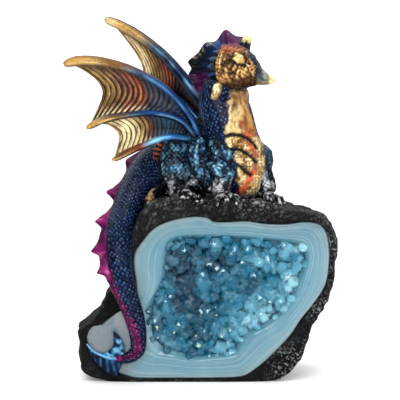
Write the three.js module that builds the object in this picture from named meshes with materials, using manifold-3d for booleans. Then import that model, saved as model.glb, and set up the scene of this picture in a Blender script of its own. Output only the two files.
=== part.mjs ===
// A cast resin dragon seated on half a crystal geode.
// Millimetres, +Z up. The geode's sawn face looks towards -Y, and the origin is on its flat underside.
import * as THREE from "three";
import { mergeVertices } from "three/addons/utils/BufferGeometryUtils.js";
import Module from "manifold-3d";

const wasm = await Module();
wasm.setup();

// Driving dimensions
const FACE_Y = -22; // plane of the sawn face
const ROCK_DEPTH = 52; // sawn face to the back of the rock
const ROCK_CENTRE_X = 2;
const RIM_BEVEL = 0.03; // share that the rock's rim is drawn in at the sawn face
const RIM_DEPTH = 0.05; // share of the depth over which that bevel runs
const ROCK_LUMP = 0.6; // height of the lumps on the rock
const ROCK_BACK = 0.3; // share of the outline left at the very back
const GAP = 0.3; // clearance between pieces that touch
const SLIVER = 0.06; // detail smaller than this is dropped where solids join
const LINING_DEPTH = 13; // agate lining, sawn face to its back
const HOLLOW_DEPTH = 9.5; // crystal hollow at its deepest
const BED_THICKNESS = 2.6; // crystal bed over the wall of the hollow
const CRYSTAL_SIZE = 2.9; // half width of a typical crystal
const CRYSTAL_ROWS = 4;
const CRYSTALS_IN_RIM = 15; // in the row next to the sawn face
const BELLY_PLATES = 9;
const PLATE_STEP = 0.45; // how far each belly plate stands over the next
const PLATE_LIFT = 0.15; // least height of a plate over the trunk
const PLATE_HALF = 0.8; // half the thickness of a plate
const PLATE_SPREAD = 0.95; // angle in radians that the plates reach to each side
const PLATE_RUN = [0.12, 0.84]; // stretch of the trunk that carries plates
const FIN_PEAKS = 9; // points along the back and tail
const FIN_PEAK_HEIGHT = 4.2;
const FIN_WEB_HEIGHT = 1.3; // fin between two points
const FIN_ROOT_HALF = 1.6; // half thickness of the fin at its root
const FIN_EDGE_HALF = 0.3;
const FIN_RUN = [0.1, 0.8]; // stretch of the back that carries the fin
const FIN_BREAK = 0.72; // share of a point's length over which it rises
const MEMBRANE_HALF = 0.75; // half the thickness of a wing membrane
const RIB_HALF = 0.25; // half the height of the ribs across a membrane
const MEMBRANE_ROOT = 0.04; // share along the spars where a membrane starts
const SCALLOP = 0.14; // share that a membrane's edge is cut back between its spars
const LOBE_HALF = 1.1; // half the thickness of a frill lobe at its base
const TOE_LENGTH = 5.2;
const TOE_RADIUS = 1.15;
const TOE_SPREAD = 32; // degrees between toes
const PALM = [2.7, 2.7, 2.4]; // half sizes of a paw's palm

const v3 = (p) => new THREE.Vector3(p[0], p[1], p[2]);
const smooth = (points, closed = false) => new THREE.CatmullRomCurve3(points.map(v3), closed);

// Repeatable scatter between 0 and 1
function scatter(i) {
  const s = Math.sin(i * 12.9898) * 43758.5453;
  return s - Math.floor(s);
}

// Solids and meshes

function solidFrom(geometry) {
  const bare = geometry.clone();
  bare.deleteAttribute("normal");
  bare.deleteAttribute("uv");
  const merged = mergeVertices(bare, 1e-4);
  const triVerts = new Uint32Array(merged.index.array);
  const vertProperties = merged.attributes.position.array;
  const solid = new wasm.Manifold(new wasm.Mesh({ numProp: 3, vertProperties, triVerts }));
  if (solid.volume() > 0) return solid;
  for (let i = 0; i < triVerts.length; i += 3) {
    [triVerts[i + 1], triVerts[i + 2]] = [triVerts[i + 2], triVerts[i + 1]];
  }
  return new wasm.Manifold(new wasm.Mesh({ numProp: 3, vertProperties, triVerts }));
}

const joined = (solids) => solids.reduce((whole, next) => whole.add(next));

// The largest body of a solid, filled: sealed pockets, loose chips and slivers along the joins are left out
function mainBody(solid) {
  const bodies = solid.asOriginal().simplify(SLIVER).decompose();
  return bodies.reduce((best, next) => (next.volume() > best.volume() ? next : best));
}

function meshFrom(name, solid, material) {
  const mesh = solid.getMesh();
  const geometry = new THREE.BufferGeometry()
    .setAttribute("position", new THREE.BufferAttribute(mesh.vertProperties, 3))
    .setIndex(new THREE.BufferAttribute(mesh.triVerts, 1));
  geometry.computeVertexNormals();
  const made = new THREE.Mesh(geometry, material);
  made.name = name;
  return made;
}

// Triangles of a band of quads between rings of points, each ring with as many points as the next
function bands(rings, sides) {
  const index = [];
  for (let r = 0; r < rings - 1; r++) {
    for (let i = 0; i < sides; i++) {
      const j = (i + 1) % sides;
      const a = r * sides;
      const b = a + sides;
      index.push(a + i, a + j, b + i, a + j, b + j, b + i);
    }
  }
  return index;
}

function solidFromPoints(points, index) {
  return solidFrom(new THREE.BufferGeometry().setFromPoints(points).setIndex(index));
}

// A closed skin over rings of points, with a point at each end
function skin(rings, firstPole, lastPole) {
  const sides = rings[0].length;
  const points = [...rings.flat(), firstPole, lastPole];
  const first = points.length - 2;
  const last = points.length - 1;
  const end = (rings.length - 1) * sides;
  const index = bands(rings.length, sides);
  for (let i = 0; i < sides; i++) {
    const j = (i + 1) % sides;
    index.push(first, j, i, last, end + i, end + j);
  }
  return solidFromPoints(points, index);
}

// A tube of elliptical rings along a smooth path. A station is [x, y, z, half width, half depth],
// and depth lies along the facing direction, which may change along the path.
function tubeShape(stations, facing) {
  const path = smooth(stations);
  const halves = smooth(stations.map((s) => [s[3], s[4] ?? s[3], 0]));
  return (t) => {
    const centre = path.getPoint(t);
    const along = path.getTangent(t);
    const depth = facing(t).clone();
    depth.addScaledVector(along, -depth.dot(along)).normalize();
    const width = new THREE.Vector3().crossVectors(depth, along);
    const half = halves.getPoint(t);
    return { centre, along, depth, width, halfWidth: half.x, halfDepth: half.y };
  };
}

function ringPoint(section, angle, lift = 0) {
  return section.centre
    .clone()
    .addScaledVector(section.width, (section.halfWidth + lift) * Math.cos(angle))
    .addScaledVector(section.depth, (section.halfDepth + lift) * Math.sin(angle));
}

function tube(stations, facing, rings = 16, sides = 12) {
  const shape = tubeShape(stations, facing);
  const all = Array.from({ length: rings + 1 }, (_, r) => {
    const section = shape(r / rings);
    return Array.from({ length: sides }, (_, i) => ringPoint(section, (2 * Math.PI * i) / sides));
  });
  return skin(all, shape(0).centre, shape(1).centre);
}

const steady = (direction) => () => v3(direction);

// A sheet with thickness: middle(u, v) is a point of its middle surface, half(u, v) the step to one side.
function slab(middle, half, uSteps, vSteps) {
  const rings = [];
  for (let r = 0; r <= vSteps; r++) {
    const v = r / vSteps;
    const shares = Array.from({ length: uSteps + 1 }, (_, i) => i / uSteps);
    const front = shares.map((u) => middle(u, v).add(half(u, v)));
    const back = shares.map((u) => middle(u, v).sub(half(u, v)));
    rings.push([...front, ...back.reverse()]);
  }
  const sides = 2 * (uSteps + 1);
  const index = bands(rings.length, sides);
  const end = vSteps * sides;
  for (let i = 0; i < uSteps; i++) {
    const a = i;
    const b = i + 1;
    const c = sides - 2 - i;
    const d = sides - 1 - i;
    index.push(a, c, b, a, d, c, end + a, end + b, end + c, end + a, end + c, end + d);
  }
  return solidFromPoints(rings.flat(), index);
}

function ball(at, halves) {
  const geometry = new THREE.SphereGeometry(1, 8, 6);
  geometry.scale(...halves);
  geometry.translate(...at);
  return solidFrom(geometry);
}

// Geode: outlines are [x, z] in the sawn face

const ROCK_OUTLINE = [
  [-23.5, 52.5], [-15, 58], [-4, 60], [13, 60], [28, 58.5], [37.5, 56.5], [42.5, 52], [44.5, 43], [43.3, 33],
  [40, 21], [36, 16.5], [32.5, 6.5], [25, 0], [13, -0.5], [-13, -0.5], [-31, 0], [-38, 4], [-39.5, 14],
  [-37, 19.5], [-32.3, 24.5], [-30, 35], [-27.5, 45],
];
const AGATE_OUTLINE = [
  [-18.5, 49], [-10, 53], [-1.5, 54.5], [5, 53], [20, 52.5], [36, 53.6], [40, 50.3], [41, 42], [39.4, 33],
  [31, 19], [26, 10], [17, 4], [5, 1.6], [-16, 1.6], [-28, 3], [-36, 8], [-37.8, 15.5], [-32, 19.2],
  [-28, 23], [-24, 23], [-20.8, 28], [-22, 37],
];
const HOLLOW_OUTLINE = [
  [-11.5, 45.5], [4, 48], [23, 47.2], [31, 45.5], [32.5, 39.5], [26, 25], [14, 15], [8, 10], [-3, 8.5],
  [-14, 12.5], [-16, 19], [-13.5, 33],
];
const HOLLOW_CENTRE = [7, 30];

function outlinePoints(outline, count) {
  const curve = smooth(outline.map(([x, z]) => [x, 0, z]), true);
  return Array.from({ length: count }, (_, i) => curve.getPoint(i / count));
}

// The outline moved outwards by a distance along its own normals
function grown(points, distance) {
  return points.map((p, i) => {
    const before = points[(i + points.length - 1) % points.length];
    const after = points[(i + 1) % points.length];
    const along = after.clone().sub(before).normalize();
    return new THREE.Vector3(p.x - along.z * distance, 0, p.z + along.x * distance);
  });
}

// Share of the outline that is left at a share of the depth: a bevelled rim, a long body and a rounded back
function rockShare(t) {
  const bevel = t < RIM_DEPTH ? RIM_BEVEL * (1 - t / RIM_DEPTH) : 0;
  return Math.max(ROCK_BACK, (1 - t ** 7) ** 0.4) - bevel;
}

// Lumps die out towards the flat underside
function rockLump(t, angle, z) {
  const coarse = Math.sin(3 * angle + 9 * t) + 0.7 * Math.sin(7 * angle - 14 * t);
  const waves = coarse + 0.4 * Math.sin(13 * angle) - 0.6;
  return ROCK_LUMP * waves * Math.min(1, t * 6) * THREE.MathUtils.smoothstep(z, 1, 12);
}

function rockBody(grow) {
  const depths = [0, 0.05, 0.14, 0.28, 0.42, 0.55, 0.66, 0.76, 0.84, 0.91, 0.96, 1];
  const outline = grown(outlinePoints(ROCK_OUTLINE, 44), grow);
  const rings = depths.map((t) =>
    outline.map((p, i) => {
      const share = rockShare(t);
      const lump = rockLump(t, (2 * Math.PI * i) / outline.length, p.z);
      const reach = share * (1 + lump / 40);
      return new THREE.Vector3(
        ROCK_CENTRE_X + (p.x - ROCK_CENTRE_X) * reach,
        FACE_Y - grow + (ROCK_DEPTH + 2 * grow) * t,
        Math.max(-grow, p.z * reach),
      );
    }),
  );
  const front = new THREE.Vector3(ROCK_CENTRE_X, FACE_Y - grow, 25);
  const back = new THREE.Vector3(ROCK_CENTRE_X, FACE_Y + ROCK_DEPTH + grow, 8);
  return skin(rings, front, back);
}

function prism(points, fromY, toY) {
  const shape = new THREE.Shape(points.map((p) => new THREE.Vector2(p.x, p.z)));
  const geometry = new THREE.ExtrudeGeometry(shape, { depth: toY - fromY, bevelEnabled: false });
  geometry.rotateX(Math.PI / 2);
  geometry.translate(0, toY, 0);
  return solidFrom(geometry);
}

// A point on the wall of the hollow: turn is a share of its outline, deep a share of its depth
function hollowPoint(curve, turn, deep, inset) {
  const edge = curve.getPoint(turn);
  const share = Math.sqrt(1 - 0.97 * deep ** 2.4);
  const dx = edge.x - HOLLOW_CENTRE[0];
  const dz = edge.z - HOLLOW_CENTRE[1];
  const reach = share * (1 - inset / Math.hypot(dx, dz));
  return new THREE.Vector3(
    HOLLOW_CENTRE[0] + dx * reach,
    FACE_Y + (HOLLOW_DEPTH - inset) * deep,
    HOLLOW_CENTRE[1] + dz * reach,
  );
}

const hollowCurve = smooth(HOLLOW_OUTLINE.map(([x, z]) => [x, 0, z]), true);

// The hollow as a solid that reaches out through the sawn face
function hollowBody(inset) {
  const sides = 20;
  const rings = [0, 0.35, 0.7, 0.9, 1].map((deep) =>
    Array.from({ length: sides }, (_, i) => hollowPoint(hollowCurve, i / sides, deep, inset)),
  );
  const mouth = rings[0].map((p) => new THREE.Vector3(p.x, FACE_Y - 4, p.z));
  const front = new THREE.Vector3(HOLLOW_CENTRE[0], FACE_Y - 4, HOLLOW_CENTRE[1]);
  const back = new THREE.Vector3(HOLLOW_CENTRE[0], FACE_Y + HOLLOW_DEPTH - inset, HOLLOW_CENTRE[1]);
  return skin([mouth, ...rings], front, back);
}

// One blunt five-sided crystal that points out of the hollow
function crystal(at, size, aim, turn) {
  const geometry = new THREE.LatheGeometry(
    [
      new THREE.Vector2(0, -1.2 * size),
      new THREE.Vector2(size, -0.8 * size),
      new THREE.Vector2(0.95 * size, 0.35 * size),
      new THREE.Vector2(0, size),
    ],
    5,
  );
  geometry.rotateY(turn);
  const lean = new THREE.Quaternion().setFromUnitVectors(new THREE.Vector3(0, 1, 0), aim);
  geometry.applyQuaternion(lean);
  geometry.translate(at.x, at.y, at.z);
  return solidFrom(geometry);
}

function crystals() {
  const made = [];
  for (let row = 0; row < CRYSTAL_ROWS; row++) {
    const deep = 0.3 + (0.68 * row) / (CRYSTAL_ROWS - 1);
    const count = Math.round(CRYSTALS_IN_RIM * (1 - row / (CRYSTAL_ROWS + 0.4)));
    for (let i = 0; i < count; i++) {
      const seed = row * 40 + i;
      const turn = (i + 0.5 * (row % 2) + 0.3 * scatter(seed)) / count;
      const at = hollowPoint(hollowCurve, turn, deep, BED_THICKNESS);
      const inwards = new THREE.Vector3(HOLLOW_CENTRE[0] - at.x, 0, HOLLOW_CENTRE[1] - at.z);
      const aim = new THREE.Vector3(0, -1, 0).addScaledVector(inwards, 0.03).normalize();
      made.push(crystal(at, CRYSTAL_SIZE * (0.75 + 0.5 * scatter(seed + 7)), aim, 6 * scatter(seed + 3)));
    }
  }
  return made;
}

const agatePoints = outlinePoints(AGATE_OUTLINE, 56);
const pocket = prism(grown(agatePoints, GAP), FACE_Y - 2, FACE_Y + LINING_DEPTH + GAP);
const rock = mainBody(rockBody(0).subtract(pocket));
const lining = prism(agatePoints, FACE_Y, FACE_Y + LINING_DEPTH).subtract(hollowBody(0));
const bed = mainBody(
  hollowBody(GAP)
    .subtract(hollowBody(BED_THICKNESS))
    .add(joined(crystals()).intersect(hollowBody(GAP)))
    .subtract(prism(outlinePoints(ROCK_OUTLINE, 48), FACE_Y - 8, FACE_Y + 1)),
);

// Dragon: stations are [x, y, z, half width, half depth]

const CHEST_AIM = [0.67, -0.74, 0]; // the way the chest looks
const TRUNK = [
  [14, -6, 57, 3.5], [13.3, -6, 62, 7, 6.8], [12.4, -5.5, 68, 9.5, 9.2], [12, -5, 73.5, 9.8, 9.4],
  [11, -4.5, 79, 9, 8.6], [9.5, -3.5, 85, 8.1, 7.9], [8.6, -2.7, 90.5, 7.8, 7.4], [9, -2, 95, 7.2, 7],
  [9.6, -2, 99, 4],
];
const BACK = [
  [10, -3, 74.5, 5], [4, 1.5, 74, 9], [-2.5, 5.5, 71.5, 10], [-9, 7.5, 68.5, 9.2], [-15, 5.5, 65, 7.4],
  [-20, 0.5, 60.5, 6], [-23.4, -6, 55.8, 5.2], [-25.4, -13.5, 49.8, 4.7], [-26, -20.5, 43.5, 4.2],
  [-25.3, -25, 37, 3.8], [-23.5, -25.8, 29.5, 3.5], [-21.2, -25.4, 22.5, 3.1], [-19.9, -25, 16, 2.7],
  [-20.6, -24.6, 11, 2.2], [-24, -24.2, 8.6, 1.8], [-28, -24.1, 8.2, 1.3],
];
// Which way the spine fin stands, in even steps along BACK
const FIN_AIM = [[-0.5, 0.6, 0.9], [-0.5, 0.5, 0.9], [-0.7, 0.4, 0.7], [-1, 0.1, 0.1], [-1, -0.3, -0.1],
  [-0.7, -0.8, 0], [0.1, -1, 0.1], [0, -1, 0.3]];
const HEAD = [
  [4.6, 3, 101.4, 4, 4.2], [7.4, 1.5, 102.2, 6.8, 7.4], [11, -1, 102.6, 7.1, 7.9], [14.6, -4, 101.6, 5.9, 6.2],
  [17.2, -6, 100.4, 4.1, 4.3], [19.8, -8, 99.3, 2.7, 2.7], [22.2, -9.6, 98.5, 1.6, 1.6],
  [23.6, -10.5, 98.2, 0.4, 0.4],
];
const NEAR_ARM = [
  [4, -8, 77, 3], [2.2, -10.5, 73.5, 5], [1, -12, 69.5, 4], [3.2, -13, 66, 3.2], [5.8, -14, 63, 3],
  [7.6, -14.6, 60.3, 2.6],
];
const FAR_ARM = [
  [17.5, -2.5, 77, 2.4], [19.6, -4.5, 73.5, 3.4], [20.6, -6, 68.5, 3], [21.4, -7, 64, 2.7], [22.6, -8, 60, 2.6],
];
const NEAR_THIGH = [[-7.4, 2.5, 79, 2.4], [-7.8, 0.5, 75, 5.2], [-8, -1.5, 69.5, 5.8], [-8, -3.5, 63.5, 3.6]];
const FAR_THIGH = [[0, 12, 79, 2.4], [0.5, 12.5, 75, 5.2], [2, 13, 69.5, 5.8], [3.5, 12, 63, 3.6]];
const NEAR_FOOT = [[-11, -3, 61.5, 2.6], [-7, -5.6, 61, 3.2], [-3, -8.6, 59.6, 2.4]];
const FAR_FOOT = [[1, 14, 60.5, 2.6], [5, 13, 60.5, 3.2], [9.5, 10.5, 59.6, 2.4]];
// Paws: [x, y, z of the knuckles, heading of the middle toe in degrees from +X towards +Y]
const PAWS = [[7.2, -14.8, 60.2, -62], [22.6, -8.6, 60, -60], [-3.2, -8.8, 59.6, -50], [9.5, 10.5, 59.6, -30]];

const NEAR_LEADING = [
  [1.5, -5, 77, 1.5], [-3, -5.5, 86.5, 1.2], [-7, -5, 91.3, 1.2], [-12, -3.6, 95.8, 1.3],
  [-18.5, -2, 99.8, 1.35], [-25, 0, 102.2, 1.4], [-33, 3, 104, 1.5], [-40, 5, 104.3, 1.5], [-45.2, 6.4, 102.4, 0.7],
];
const NEAR_MIDDLE = [
  [-2, -6, 81, 1.2], [-9, -6.6, 86.3, 1], [-15, -6.4, 87.6, 1], [-20, -5.4, 87.6, 1], [-26.5, -3.6, 86.6, 1.05],
  [-32, -1.4, 85, 1.1], [-37.6, 1, 82.4, 0.7],
];
const NEAR_LOWER = [
  [-4, -5, 79.5, 1.4], [-11, -6.4, 79.6, 1.1], [-16.5, -6.6, 77.8, 1.05], [-22, -5.4, 75.3, 1.1],
  [-28, -3, 72.2, 0.7],
];
const FAR_LEADING = [
  [5, 3, 82, 1.5], [-2, 5, 92, 1.3], [-7, 8, 98.3, 1.35], [-11.6, 11, 103.8, 1.4], [-16.6, 14, 108.5, 1.45],
  [-21.6, 17, 112, 1.5], [-26.6, 20, 114.6, 1.4], [-31.2, 22, 116, 0.7],
];
const FAR_MIDDLE = [
  [2, 5, 82, 1.2], [-6.5, 9, 90.5, 1], [-13, 13, 92.8, 1], [-19, 16.4, 92.6, 1.05], [-25, 20, 90.6, 0.7],
];
const FAR_LOWER = [[0, 6, 79, 1.4], [-7, 10.5, 82.6, 1.1], [-12.5, 14.5, 82.4, 1.05], [-18, 18.5, 80, 0.7]];
const WING_FACING = [0.25, -0.95, 0.15]; // across a wing, from its back to its front

// Lobes of the frill round the back of the head: [base, tip, half width]
const FRILL = [
  [[10, 2.4, 106], [8.6, 3.4, 114.9], 3.6],
  [[7.6, 2.6, 105], [1.6, 4.4, 110.8], 3.8],
  [[6.4, 2.8, 102.5], [-2.8, 4.6, 105.6], 3.6],
  [[6, 2.4, 100], [-2.4, 3.6, 100.2], 3.2],
  [[6.4, 0.6, 97.4], [1, 0.2, 93.4], 2.6],
];
const FAR_HORN = [[12.5, 1.5, 107, 2.3], [14.8, 2, 110.2, 1.9], [16.4, 2, 112.6, 0.9]];
const CHEEK_SPUR = [[6.2, -5.4, 97.6, 1.5], [5.1, -6, 94.8, 1.7], [4.8, -6, 92.4, 0.7]];
const BROW = [[6.8, -5, 105.4, 1], [10.2, -7, 105.8, 1.6], [14.8, -7.6, 103.2, 0.8]];

// Spade at the end of the tail: its midrib and the tips of its two barbs
const SPADE_ROOT = [-26, -23.8, 8];
const SPADE_POINT = [-37, -23.8, 12.8];
const UPPER_BARB = [-28.6, -23.8, 17.4];
const LOWER_BARB = [-27, -23.8, 3.2];
const SPADE_SWELL = 0.18; // how far the barbs bulge back past the root

const trunkShape = tubeShape(TRUNK, steady(CHEST_AIM));
const finCurve = smooth(FIN_AIM);
const finFacing = (t) => finCurve.getPoint(t);
const backShape = tubeShape(BACK, finFacing);

// Overlapping plates down the throat and belly
function bellyPlates() {
  const lift = (v) => PLATE_LIFT + PLATE_STEP * ((v * BELLY_PLATES) % 1);
  const place = (u, v, extra) => {
    const angle = Math.PI / 2 + PLATE_SPREAD * (2 * u - 1);
    return ringPoint(trunkShape(THREE.MathUtils.lerp(...PLATE_RUN, v)), angle, extra);
  };
  const middle = (u, v) => place(u, v, lift(v) - PLATE_HALF);
  const half = (u, v) => place(u, v, PLATE_HALF).sub(place(u, v, 0));
  return slab(middle, half, 4, 2 * BELLY_PLATES);
}

// Height of the spine fin: each point rises slowly and breaks off short
function finHeight(v) {
  const phase = (v * FIN_PEAKS) % 1;
  const tooth = phase < FIN_BREAK ? (phase / FIN_BREAK) ** 1.7 : (1 - phase) / (1 - FIN_BREAK);
  const swell = Math.sin(Math.PI * Math.min(1, 0.25 + 0.78 * v)) ** 0.7;
  return (FIN_WEB_HEIGHT + FIN_PEAK_HEIGHT * tooth) * swell;
}

function spineFin() {
  const section = (v) => backShape(THREE.MathUtils.lerp(...FIN_RUN, v));
  const middle = (u, v) => {
    const s = section(v);
    return s.centre.addScaledVector(s.depth, s.halfDepth * 0.5 + u * (s.halfDepth * 0.5 + finHeight(v)));
  };
  const half = (u, v) => section(v).width.multiplyScalar(THREE.MathUtils.lerp(FIN_ROOT_HALF, FIN_EDGE_HALF, u));
  return slab(middle, half, 1, 7 * FIN_PEAKS);
}

// A membrane between two wing spars, scalloped at its trailing edge and folded into ribs
function membrane(upper, lower, upperEnd, lowerEnd, ribs) {
  const top = smooth(upper);
  const bottom = smooth(lower);
  const reach = (v) => upperEnd + (lowerEnd - upperEnd) * v - SCALLOP * 4 * v * (1 - v);
  const middle = (u, v) => {
    const along = THREE.MathUtils.lerp(MEMBRANE_ROOT, reach(v), u);
    return top.getPoint(along).lerp(bottom.getPoint(along), v);
  };
  const facing = v3(WING_FACING).normalize();
  const half = (u) => {
    const rib = RIB_HALF * Math.sin(2 * Math.PI * ribs * u);
    return facing.clone().multiplyScalar(MEMBRANE_HALF + rib);
  };
  return slab(middle, half, 2 * ribs, 3);
}

function wing(leading, middle, lower) {
  const facing = steady(WING_FACING);
  const spars = [tube(leading, facing, 12, 6), tube(middle, facing, 9, 6), tube(lower, facing, 7, 6)];
  const skins = [membrane(leading, middle, 0.88, 0.88, 7), membrane(middle, lower, 0.82, 0.92, 5)];
  return joined([...spars, ...skins]);
}

// A leaf that swells from its base and closes to a point
function leaf(base, tip, halfWidth, across) {
  const from = v3(base);
  const along = v3(tip).sub(from);
  const side = v3(across);
  side.addScaledVector(along, -side.dot(along) / along.lengthSq()).normalize();
  const face = new THREE.Vector3().crossVectors(along, side).normalize();
  const width = (v) => halfWidth * (0.12 + 0.88 * Math.sqrt(1 - v ** 3.5));
  const middle = (u, v) => {
    const spread = (2 * u - 1) * width(v);
    return from.clone().addScaledVector(along, v).addScaledVector(side, spread);
  };
  const half = (u, v) => face.clone().multiplyScalar(LOBE_HALF * (1.05 - 0.75 * v) * (1 - 0.6 * (2 * u - 1) ** 2));
  return slab(middle, half, 2, 4);
}

function paw([x, y, z, heading]) {
  const toes = [-1, 0, 1].map((spread) => {
    const angle = THREE.MathUtils.degToRad(heading + TOE_SPREAD * spread);
    const ahead = [Math.cos(angle), Math.sin(angle)];
    const station = (share, height, radius) => [
      x + ahead[0] * TOE_LENGTH * share, y + ahead[1] * TOE_LENGTH * share, z + height, radius,
    ];
    return tube([
      station(0, 0, TOE_RADIUS), station(0.45, 0.9, 1.1 * TOE_RADIUS), station(0.8, -0.4, 0.8 * TOE_RADIUS),
      station(1.1, -2.2, 0.25 * TOE_RADIUS),
    ], steady([0, 0, 1]), 4, 5);
  });
  return joined([ball([x, y, z], PALM), ...toes]);
}

// The spade's outline runs from the point round one barb to the root, on each side of the midrib
function spade() {
  const point = v3(SPADE_POINT);
  const midrib = v3(SPADE_ROOT).sub(point);
  const side = (barb) => (u, v) => {
    const rib = point.clone().addScaledVector(midrib, v);
    const spread = v3(barb).sub(v3(SPADE_ROOT)).multiplyScalar(v ** 2.2 * u);
    return rib.add(spread).addScaledVector(midrib, SPADE_SWELL * Math.sin(Math.PI * u) * v ** 3);
  };
  const half = (u, v) => new THREE.Vector3(0, 0.25 + 0.85 * (1 - u) * Math.sin(Math.PI * (0.12 + 0.8 * v)), 0);
  return [UPPER_BARB, LOWER_BARB].map((barb) => slab(side(barb), half, 3, 6));
}

function dragonBody() {
  const up = steady([0, 0, 1]);
  const ahead = steady(CHEST_AIM);
  const head = tube(HEAD, up, 12, 12);
  const frill = FRILL.map(([base, tip, halfWidth]) => leaf(base, tip, halfWidth, [0.5, 0.2, 1]));
  return joined([
    tube(TRUNK, ahead, 12, 14),
    bellyPlates(),
    tube(BACK, finFacing, 30, 10),
    spineFin(),
    head,
    ...frill,
    tube(FAR_HORN, ahead, 4, 6),
    tube(CHEEK_SPUR, ahead, 4, 6),
    tube(BROW, up, 4, 6),
    tube(NEAR_ARM, ahead, 9, 8),
    tube(FAR_ARM, ahead, 8, 8),
    tube(NEAR_THIGH, ahead, 7, 10),
    tube(FAR_THIGH, ahead, 7, 10),
    tube(NEAR_FOOT, up, 4, 6),
    tube(FAR_FOOT, up, 4, 6),
    ...PAWS.map(paw),
    wing(NEAR_LEADING, NEAR_MIDDLE, NEAR_LOWER),
    wing(FAR_LEADING, FAR_MIDDLE, FAR_LOWER),
    ...spade(),
  ]);
}

// The dragon sits in its own print on the rock
const dragon = mainBody(dragonBody().subtract(rockBody(GAP)));

const paint = (color, roughness, metalness) => new THREE.MeshStandardMaterial({ color, roughness, metalness });

const statue = new THREE.Group();
statue.add(
  meshFrom("dragon", dragon, paint(0x1d2a63, 0.35, 0.6)),
  meshFrom("geode_rock", rock, paint(0x25272a, 0.7, 0.1)),
  meshFrom("agate_lining", lining, paint(0x9cc9dc, 0.2, 0)),
  meshFrom("crystal_bed", bed, paint(0x2f8fb5, 0.15, 0)),
);
export default statue;
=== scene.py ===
"""A cast resin dragon seated on half a crystal geode: its surfaces, finishes, light and camera.

Lengths are millimetres until a mesh is made. +Z is up and the geode's sawn face looks towards -Y.
"""

import logging
import math
from collections.abc import Sequence
from dataclasses import dataclass, field
from enum import Enum

import bpy
import numpy as np
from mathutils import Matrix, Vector


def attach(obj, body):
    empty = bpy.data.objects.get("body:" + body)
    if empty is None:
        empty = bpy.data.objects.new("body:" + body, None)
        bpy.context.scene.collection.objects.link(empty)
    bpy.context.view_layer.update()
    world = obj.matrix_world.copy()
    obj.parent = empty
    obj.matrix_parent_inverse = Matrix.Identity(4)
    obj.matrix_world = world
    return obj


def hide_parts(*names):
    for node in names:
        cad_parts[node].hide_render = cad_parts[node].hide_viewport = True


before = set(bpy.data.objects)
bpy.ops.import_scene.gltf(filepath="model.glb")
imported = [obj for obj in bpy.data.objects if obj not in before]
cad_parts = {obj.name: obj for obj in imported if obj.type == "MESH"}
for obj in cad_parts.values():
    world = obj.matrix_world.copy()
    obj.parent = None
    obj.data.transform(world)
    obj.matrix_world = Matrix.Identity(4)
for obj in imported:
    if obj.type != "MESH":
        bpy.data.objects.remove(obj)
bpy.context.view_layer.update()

LOG = logging.getLogger("dragon_statue")

MM = 0.001
FACE_Y = -22.0
VIEW_TILT = math.radians(6.0)
UP = ((0.0, 0.0, 1.0),)
TO_VIEWER = (0.0, -1.0, 0.0)
SCATTER_KEYS = np.array([127.1, 311.7, 74.7])
SCATTER_SEED = 19.19
SCATTER_GAIN = 43758.5453

Array = np.ndarray
Stations = Sequence[Sequence[float]]
Point = tuple[float, float, float]
Colour = tuple[float, float, float, float]


class Paint(Enum):
    """The paints and stains on the casting, as display red, green and blue from 0 to 255."""

    SOOT = (8, 9, 13)
    MIDNIGHT = (8, 12, 28)
    NAVY = (11, 29, 58)
    INDIGO = (27, 25, 68)
    ROYAL = (12, 54, 104)
    COBALT = (24, 90, 150)
    LAGOON = (34, 98, 132)
    STEEL = (78, 112, 138)
    SKY = (124, 188, 226)
    TEAL = (20, 62, 80)
    SLATE = (46, 60, 74)
    UMBER = (36, 24, 14)
    BRONZE = (112, 78, 46)
    OLIVE_GOLD = (158, 126, 76)
    GOLD = (212, 166, 92)
    CREAM = (250, 230, 178)
    COPPER = (142, 68, 42)
    RUST = (92, 56, 46)
    VERMILION = (208, 84, 42)
    PLUM = (64, 10, 58)
    MAGENTA = (146, 22, 106)
    PINK = (214, 106, 168)
    SILVER = (196, 200, 202)
    ASH = (66, 68, 70)
    CHARCOAL = (11, 11, 12)
    HORN = (136, 140, 124)
    STRAW = (228, 212, 146)
    DEEP_WATER = (4, 46, 68)
    WATER = (22, 100, 128)
    PALE_WATER = (98, 158, 178)
    ICE = (164, 204, 212)
    LEAF = (150, 214, 120)

    @property
    def linear(self) -> Array:
        """The paint as linear light, by the display's own transfer curve."""
        share = np.array(self.value, float) / 255.0
        return np.where(share <= 0.04045, share / 12.92, ((share + 0.055) / 1.055) ** 2.4)


Hues = Sequence[tuple[float, Paint]]


def mix(first: Paint | Array, second: Paint | Array, share: Array | float) -> Array:
    """Straight-line blend of two paints or colour arrays, share 0 giving the first and 1 the second."""
    start, end = (colour.linear if isinstance(colour, Paint) else colour for colour in (first, second))
    return start + (end - start) * np.asarray(share, float)[..., None]


def layers(ground: Paint | Array, *coats: tuple[Paint | Array, Array]) -> Array:
    """Paints laid one over another.

    Args:
        ground: the lowest paint.
        coats: each further paint, with its share at each point.

    Returns:
        Linear colours.
    """
    for paint, share in coats:
        ground = mix(ground, paint, share)
    return ground


def step(low: float, high: float, value: Array) -> Array:
    """Smooth step: 0 at low, 1 at high, with the cubic 3t2 - 2t3 between them."""
    t = np.clip((np.asarray(value, float) - low) / (high - low), 0.0, 1.0)
    return t * t * (3.0 - 2.0 * t)


def ramp(value: Array, stops: Hues) -> Array:
    """Colours along a row of paints.

    Args:
        value: where on the row each point is.
        stops: places on the row with their paints, in rising order.

    Returns:
        Linear colours, blended straight between neighbouring stops.
    """
    places = [place for place, _ in stops]
    paints = np.array([paint.linear for _, paint in stops])
    return np.stack([np.interp(value, places, paints[:, k]) for k in range(3)], axis=-1)


def hashed(cell: Array, seed: float) -> Array:
    """Repeatable scatter from 0 to 1: what a large multiple of a sine of the cell's numbers leaves over."""
    wave = np.sin(cell @ SCATTER_KEYS[: cell.shape[-1]] + seed * SCATTER_SEED) * SCATTER_GAIN
    return wave - np.floor(wave)


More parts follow.
